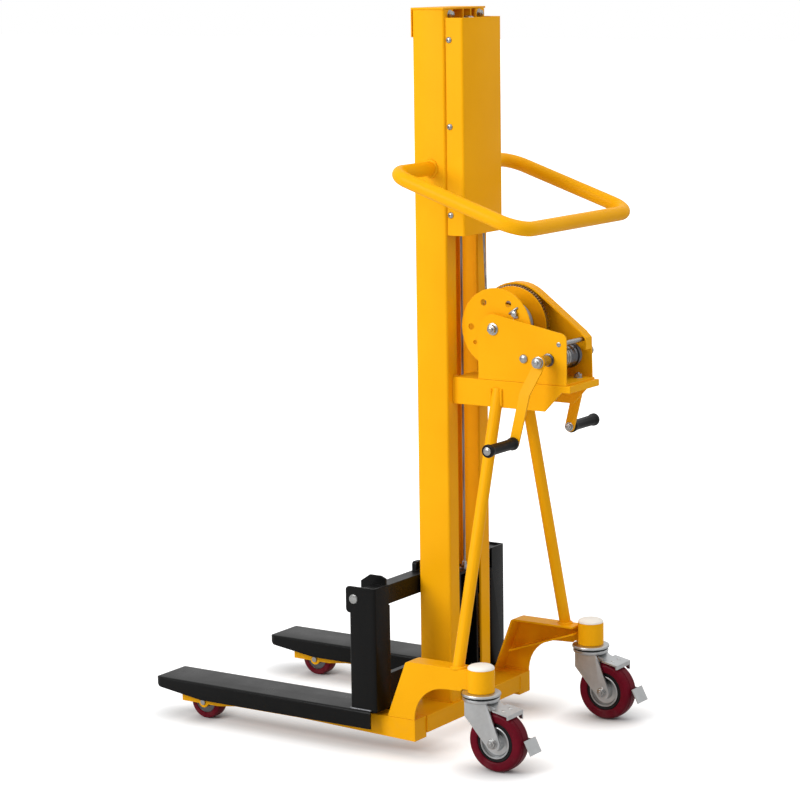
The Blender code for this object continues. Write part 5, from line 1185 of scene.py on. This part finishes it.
class TRUCK_OT_load_wheels(TruckOperator, Operator):
    """Turn the load wheels smoothly"""

    bl_idname = "truck.load_wheels"
    bl_label = "Load wheels"

    def execute(self, context):
        for side in SIDES:
            centre = middle(f"load_wheel_{side}")
            half, corner = 0.0150, 0.0040
            profile = [(0.0, 0.0380), (half - 0.0050, 0.0379)]
            profile += round_corner((half - corner, 0.0336), corner, 75.0, 0.0, 6)
            profile += [(half, 0.0262), (half - 0.0016, 0.0250)]
            shape = bmesh.new()
            add_turned(shape, crowned_profile(profile), centre, X_AXIS, 80)
            body = body_of(f"load_wheel_{side}")
            made = new_piece(f"load_wheel_{side}_smooth", shape, "tyre_polyurethane", body)
            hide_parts(f"load_wheel_{side}")
            hub = bmesh.new()
            half_hub = [(0.0165, 0.0064), (0.0165, 0.0112), (0.0128, 0.0124)]
            half_hub += [(0.0122, 0.0236), (0.0134, 0.0248)]
            add_turned(hub, mirror_profile(half_hub), centre, X_AXIS, 64)
            new_piece(f"load_hub_{side}", hub, "dark_iron", body)
        return {"FINISHED"}


class TRUCK_OT_ropes(TruckOperator, Operator):
    """Lay the stranded wire ropes and turn the head pulley smoothly"""

    bl_idname = "truck.ropes"
    bl_label = "Ropes"

    def execute(self, context):
        _, sizes, _ = truck_settings()
        pulley = middle("head_pulley")
        drum = middle("winch_drum")
        radius = 0.0025
        pulley_radius = 0.0200
        drum_radius = 0.0550
        low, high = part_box("rope_to_carriage")
        x = (low.x + high.x) / 2.0
        front = (low.y + high.y) / 2.0
        up = [Vector((x, front, low.z)), Vector((x, front, high.z))]
        rope = self.strands(up, radius, sizes.strand_lay)
        carriage = new_piece("rope_to_carriage_strands", rope, "rope_wire", "carriage")
        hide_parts("rope_to_carriage")
        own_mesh(carriage)

        run_y, run_z = drum.y - pulley.y, drum.z - pulley.z
        run = math.hypot(run_y, run_z)
        turn = math.degrees(math.atan2(run_y, -run_z))
        leave = turn - math.degrees(math.asin((pulley_radius + drum_radius) / run))
        path = round_corner((pulley.y, pulley.z), pulley_radius, 180.0, leave, 30)
        path += round_corner((drum.y, drum.z), drum_radius, 180.0 + leave, 250.0, 20)
        line = [Vector((x, y, z)) for y, z in path]
        rope = self.strands(line, radius, sizes.strand_lay)
        winch = new_piece("rope_to_winch_strands", rope, "rope_wire", "chassis")
        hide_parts("rope_to_winch")

        coil_low, coil_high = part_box("rope_coil")
        coil_radius = (coil_high.z - coil_low.z) / 2.0 - radius
        turns = round((coil_high.x - coil_low.x) / (2.0 * radius))
        coil = bmesh.new()
        for index in range(turns):
            spot = Vector((coil_low.x + radius * (2 * index + 1), drum.y, drum.z))
            ring = round_corner((0.0, coil_radius), radius, 0.0, 330.0, 11)
            add_turned(coil, ring, spot, X_AXIS, 72)
        wound = new_piece("rope_coil_turns", coil, "rope_wire", body_of("rope_coil"))
        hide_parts("rope_coil")

        shape = bmesh.new()
        half = [(0.0007, 0.0172), (0.0022, 0.0182), (0.0052, 0.0238), (0.0058, 0.0244), (0.0066, 0.0244)]
        half += [(0.0070, 0.0238), (0.0070, 0.0215), (0.0050, 0.0200), (0.0050, 0.0130), (0.0120, 0.0110)]
        half += [(0.0125, 0.0104), (0.0125, 0.0063)]
        add_turned(shape, mirror_profile(half), pulley, X_AXIS, 72)
        wheel = new_piece("head_pulley_turned", shape, "zinc_plate", body_of("head_pulley"))
        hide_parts("head_pulley")
        return {"FINISHED"}

    def strands(self, line, radius, lay):
        """Six strands laid round a line that keeps its X."""
        spots = resampled(line, lay / 9.0)
        rope = bmesh.new()
        thin = radius / 3.0
        passed = 0.0
        frames = []
        for index, spot in enumerate(spots):
            before = spots[max(0, index - 1)]
            after = spots[min(len(spots) - 1, index + 1)]
            along = (after - before).normalized()
            if index:
                passed += (spot - spots[index - 1]).length
            frames.append((spot, along.cross(X_AXIS).normalized(), passed))
        for strand in range(6):
            path = []
            for spot, across, distance in frames:
                angle = FULL_TURN * (distance / lay + strand / 6.0)
                path.append(spot + (X_AXIS * math.cos(angle) + across * math.sin(angle)) * (radius - thin))
            merge_into(rope, line_shape(path, thin, resolution=1))
        merge_into(rope, line_shape(spots, thin * 1.1, resolution=0))
        return rope


class TRUCK_OT_fork_details(TruckOperator, Operator):
    """Add the rod's bright ends and the anchor of the rope"""

    bl_idname = "truck.fork_details"
    bl_label = "Fork details"

    def execute(self, context):
        rod = middle("fork_rod")
        ends = bmesh.new()
        for sign, face in ends_of("fork_rod"):
            tip = Vector((face - sign * 0.0004, rod.y, rod.z))
            add_round(ends, tip, X_AXIS * sign, 0.0097, 0.0014, edge=0.0008)
        new_piece("fork_rod_ends", ends, "bright_steel", "carriage")
        anchor = middle("rope_anchor")
        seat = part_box("carriage_frame")[1].z
        stud = bmesh.new()
        foot = Vector((anchor.x, anchor.y, seat))
        add_nut_on_washer(stud, foot, Z_AXIS, 0.0088, 0.0112, height=0.0066)
        profile = [(0.0060, 0.0), (0.0060, 0.0050), (0.0120, 0.0048), (0.0138, 0.0044)]
        profile += [(0.0152, 0.0032), (0.0152, 0.0)]
        add_turned(stud, profile, foot, Z_AXIS, 40)
        made = new_piece("rope_anchor_nut", stud, "bright_steel", "carriage")
        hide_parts("rope_anchor")
        return {"FINISHED"}


class TRUCK_OT_stage(TruckOperator, Operator):
    """Set the floor, the light and the camera"""

    bl_idname = "truck.stage"
    bl_label = "Stage"

    def execute(self, context):
        _, _, stage = truck_settings()
        scene = context.scene
        scene.view_settings.view_transform = "Standard"
        self.make_floor(stage)
        self.make_world(stage)
        self.make_lamps(stage)
        # The camera was fitted to the photo's parallel and upright edges.
        place, shift, roll_angle = at(4.7296, 3.0385, 1.6398), (-0.06625, -0.0159), math.radians(-0.652)
        data = bpy.data.cameras.new("camera")
        data.lens = stage.lens
        data.sensor_width = 36.0
        data.shift_x, data.shift_y = shift
        data.clip_end = 100.0
        camera = bpy.data.objects.new("camera", data)
        tilt = Matrix.Rotation(math.pi / 2.0 - stage.elevation, 4, "X")
        turn = Matrix.Rotation(stage.azimuth, 4, "Z") @ tilt
        roll = Matrix.Rotation(roll_angle, 4, "Z")
        camera.matrix_world = Matrix.Translation(place) @ turn @ roll
        scene.collection.objects.link(camera)
        scene.camera = camera
        return {"FINISHED"}

    def make_floor(self, stage):
        """A pale floor that keeps the truck's shadow and shows white to the camera, with painted shadow near
        the wheels and legs, where its lift to white is held back.
        """
        shape = bmesh.new()
        bmesh.ops.create_grid(shape, x_segments=1, y_segments=1, size=40.0)
        mesh = bpy.data.meshes.new("floor")
        shape.to_mesh(mesh)
        shape.free()
        floor = bpy.data.objects.new("floor", mesh)
        bpy.context.scene.collection.objects.link(floor)
        tree, shader = new_finish("floor_paper", specular=0.0)
        shader.inputs["Base Color"].default_value = (*stage.floor, 1.0)
        shader.inputs["Roughness"].default_value = 0.9
        where = place_of(tree)
        spread = mapped(tree, length_of(tree, where), 0.5, 3.0, 1.0, 1.7)
        shown = times(tree, times(tree, self.floor_lift_with_painted_shadow(tree, where), spread), self.seen_rays(tree))
        shader.inputs["Emission Color"].default_value = (1.0, 1.0, 1.0, 1.0)
        tree.links.new(shown, shader.inputs["Emission Strength"])
        mesh.materials.append(finish("floor_paper"))

    def floor_lift_with_painted_shadow(self, tree, where):
        """How much the floor is lifted to white: nothing under the wheels, and all of it further off. The
        lift held back round the wheels and along the legs is painted shadow.
        """
        full_lift = 0.60
        axes = axes_of(tree, where)
        side = worked(tree, "ABSOLUTE", axes["X"])
        caster, wheel, leg = middle("caster_tyre_left"), middle("load_wheel_left"), middle("leg_left")
        leg_low, leg_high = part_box("leg_left")
        half_leg = (leg_high.y - leg_low.y) / 2.0
        near = 0.02
        # Painted shadow: round each wheel's contact and along each leg the floor gets less lift to white.
        painted_shadow_contacts = ((caster, 0.0, 0.0, 0.13), (wheel, 0.0, 0.0, 0.11), (leg, half_leg, 0.16, 0.12))
        lift = None
        for spot, reach, least, far in painted_shadow_contacts:
            across = worked(tree, "SUBTRACT", side, spot.x)
            along = worked(tree, "ABSOLUTE", worked(tree, "SUBTRACT", axes["Y"], spot.y))
            beyond = worked(tree, "MAXIMUM", worked(tree, "SUBTRACT", along, reach), 0.0)
            flat = tree.nodes.new("ShaderNodeCombineXYZ")
            tree.links.new(across, flat.inputs["X"])
            tree.links.new(beyond, flat.inputs["Y"])
            value = mapped(tree, length_of(tree, flat.outputs["Vector"]), near, far, least, full_lift)
            lift = worked(tree, "MINIMUM", lift, value) if lift else value
        return lift

    def seen_rays(self, tree):
        """One for rays from the camera and for those that pass through glass, else nought."""
        path = tree.nodes.new("ShaderNodeLightPath")
        return worked(tree, "MAXIMUM", path.outputs["Is Camera Ray"], path.outputs["Is Transmission Ray"])

    def make_world(self, stage):
        """White where it is seen, softer where it lights, and darker low down where it is mirrored."""
        world = bpy.data.worlds.new("studio")
        world.use_nodes = True
        tree = world.node_tree
        back = tree.nodes["Background"]
        back.inputs["Color"].default_value = (1.0, 1.0, 1.0, 1.0)
        seen = self.seen_rays(tree)
        mirrored = tree.nodes.new("ShaderNodeLightPath").outputs["Is Glossy Ray"]
        direction = tree.nodes.new("ShaderNodeTexCoord").outputs["Generated"]
        height = mapped(tree, axes_of(tree, direction)["Z"], 0.0, 0.50, 0.60, 1.0)
        shown = worked(tree, "MAXIMUM", seen, times(tree, mirrored, height))
        lighting = mapped(tree, worked(tree, "MAXIMUM", seen, mirrored), 0.0, 1.0, stage.ambient, 0.0)
        tree.links.new(worked(tree, "ADD", shown, lighting), back.inputs["Strength"])
        bpy.context.scene.world = world

    def make_lamps(self, stage):
        """A broad key lamp from the camera's left and a weaker one from above."""
        lamps = {
            "key": ((3.6, -1.5, 2.6), 2.2, stage.key_power),
            "top": ((-0.6, 1.4, 4.2), 2.5, stage.key_power * 0.35),
        }
        aim = Vector((0.0, 0.0, 0.75))
        for name, (place, size, power) in lamps.items():
            data = bpy.data.lights.new(name, "AREA")
            data.shape = "SQUARE"
            data.size = size
            data.energy = power
            lamp = bpy.data.objects.new(name, data)
            lamp.location = place
            lamp.rotation_euler = (aim - Vector(place)).to_track_quat("-Z", "Y").to_euler()
            bpy.context.scene.collection.objects.link(lamp)


class TRUCK_PT_panel(Panel):
    """The truck's sizes, colours and steps."""

    bl_idname = "TRUCK_PT_panel"
    bl_label = "High lift pallet truck"
    bl_space_type = "VIEW_3D"
    bl_region_type = "UI"
    bl_category = "Truck"

    def draw(self, context):
        scene = context.scene
        for group in (scene.truck_colours, scene.truck_sizes, scene.truck_stage):
            box = self.layout.box()
            for name in group.__annotations__:
                box.prop(group, name)
        for step in STEPS:
            self.layout.operator(step.bl_idname)


STEPS = (
    TRUCK_OT_stage,
    TRUCK_OT_finishes,
    TRUCK_OT_sheet_metal,
    TRUCK_OT_mast_fittings,
    TRUCK_OT_push_handle,
    TRUCK_OT_frame_welds,
    TRUCK_OT_winch_fittings,
    TRUCK_OT_cranks,
    TRUCK_OT_casters,
    TRUCK_OT_load_wheels,
    TRUCK_OT_ropes,
    TRUCK_OT_fork_details,
)
CLASSES = (TruckColours, TruckSizes, TruckStage, *STEPS, TRUCK_PT_panel)


def register():
    """Register the classes and the scene's settings."""
    for item in CLASSES:
        bpy.utils.register_class(item)
    bpy.types.Scene.truck_colours = PointerProperty(type=TruckColours)
    bpy.types.Scene.truck_sizes = PointerProperty(type=TruckSizes)
    bpy.types.Scene.truck_stage = PointerProperty(type=TruckStage)


def unregister():
    """Take the settings and the classes away again."""
    del bpy.types.Scene.truck_stage
    del bpy.types.Scene.truck_sizes
    del bpy.types.Scene.truck_colours
    for item in reversed(CLASSES):
        bpy.utils.unregister_class(item)


def main():
    """Build the whole truck."""
    register()
    for step in STEPS:
        group, name = step.bl_idname.split(".")
        getattr(getattr(bpy.ops, group), name)()


if __name__ == "__main__":
    main()
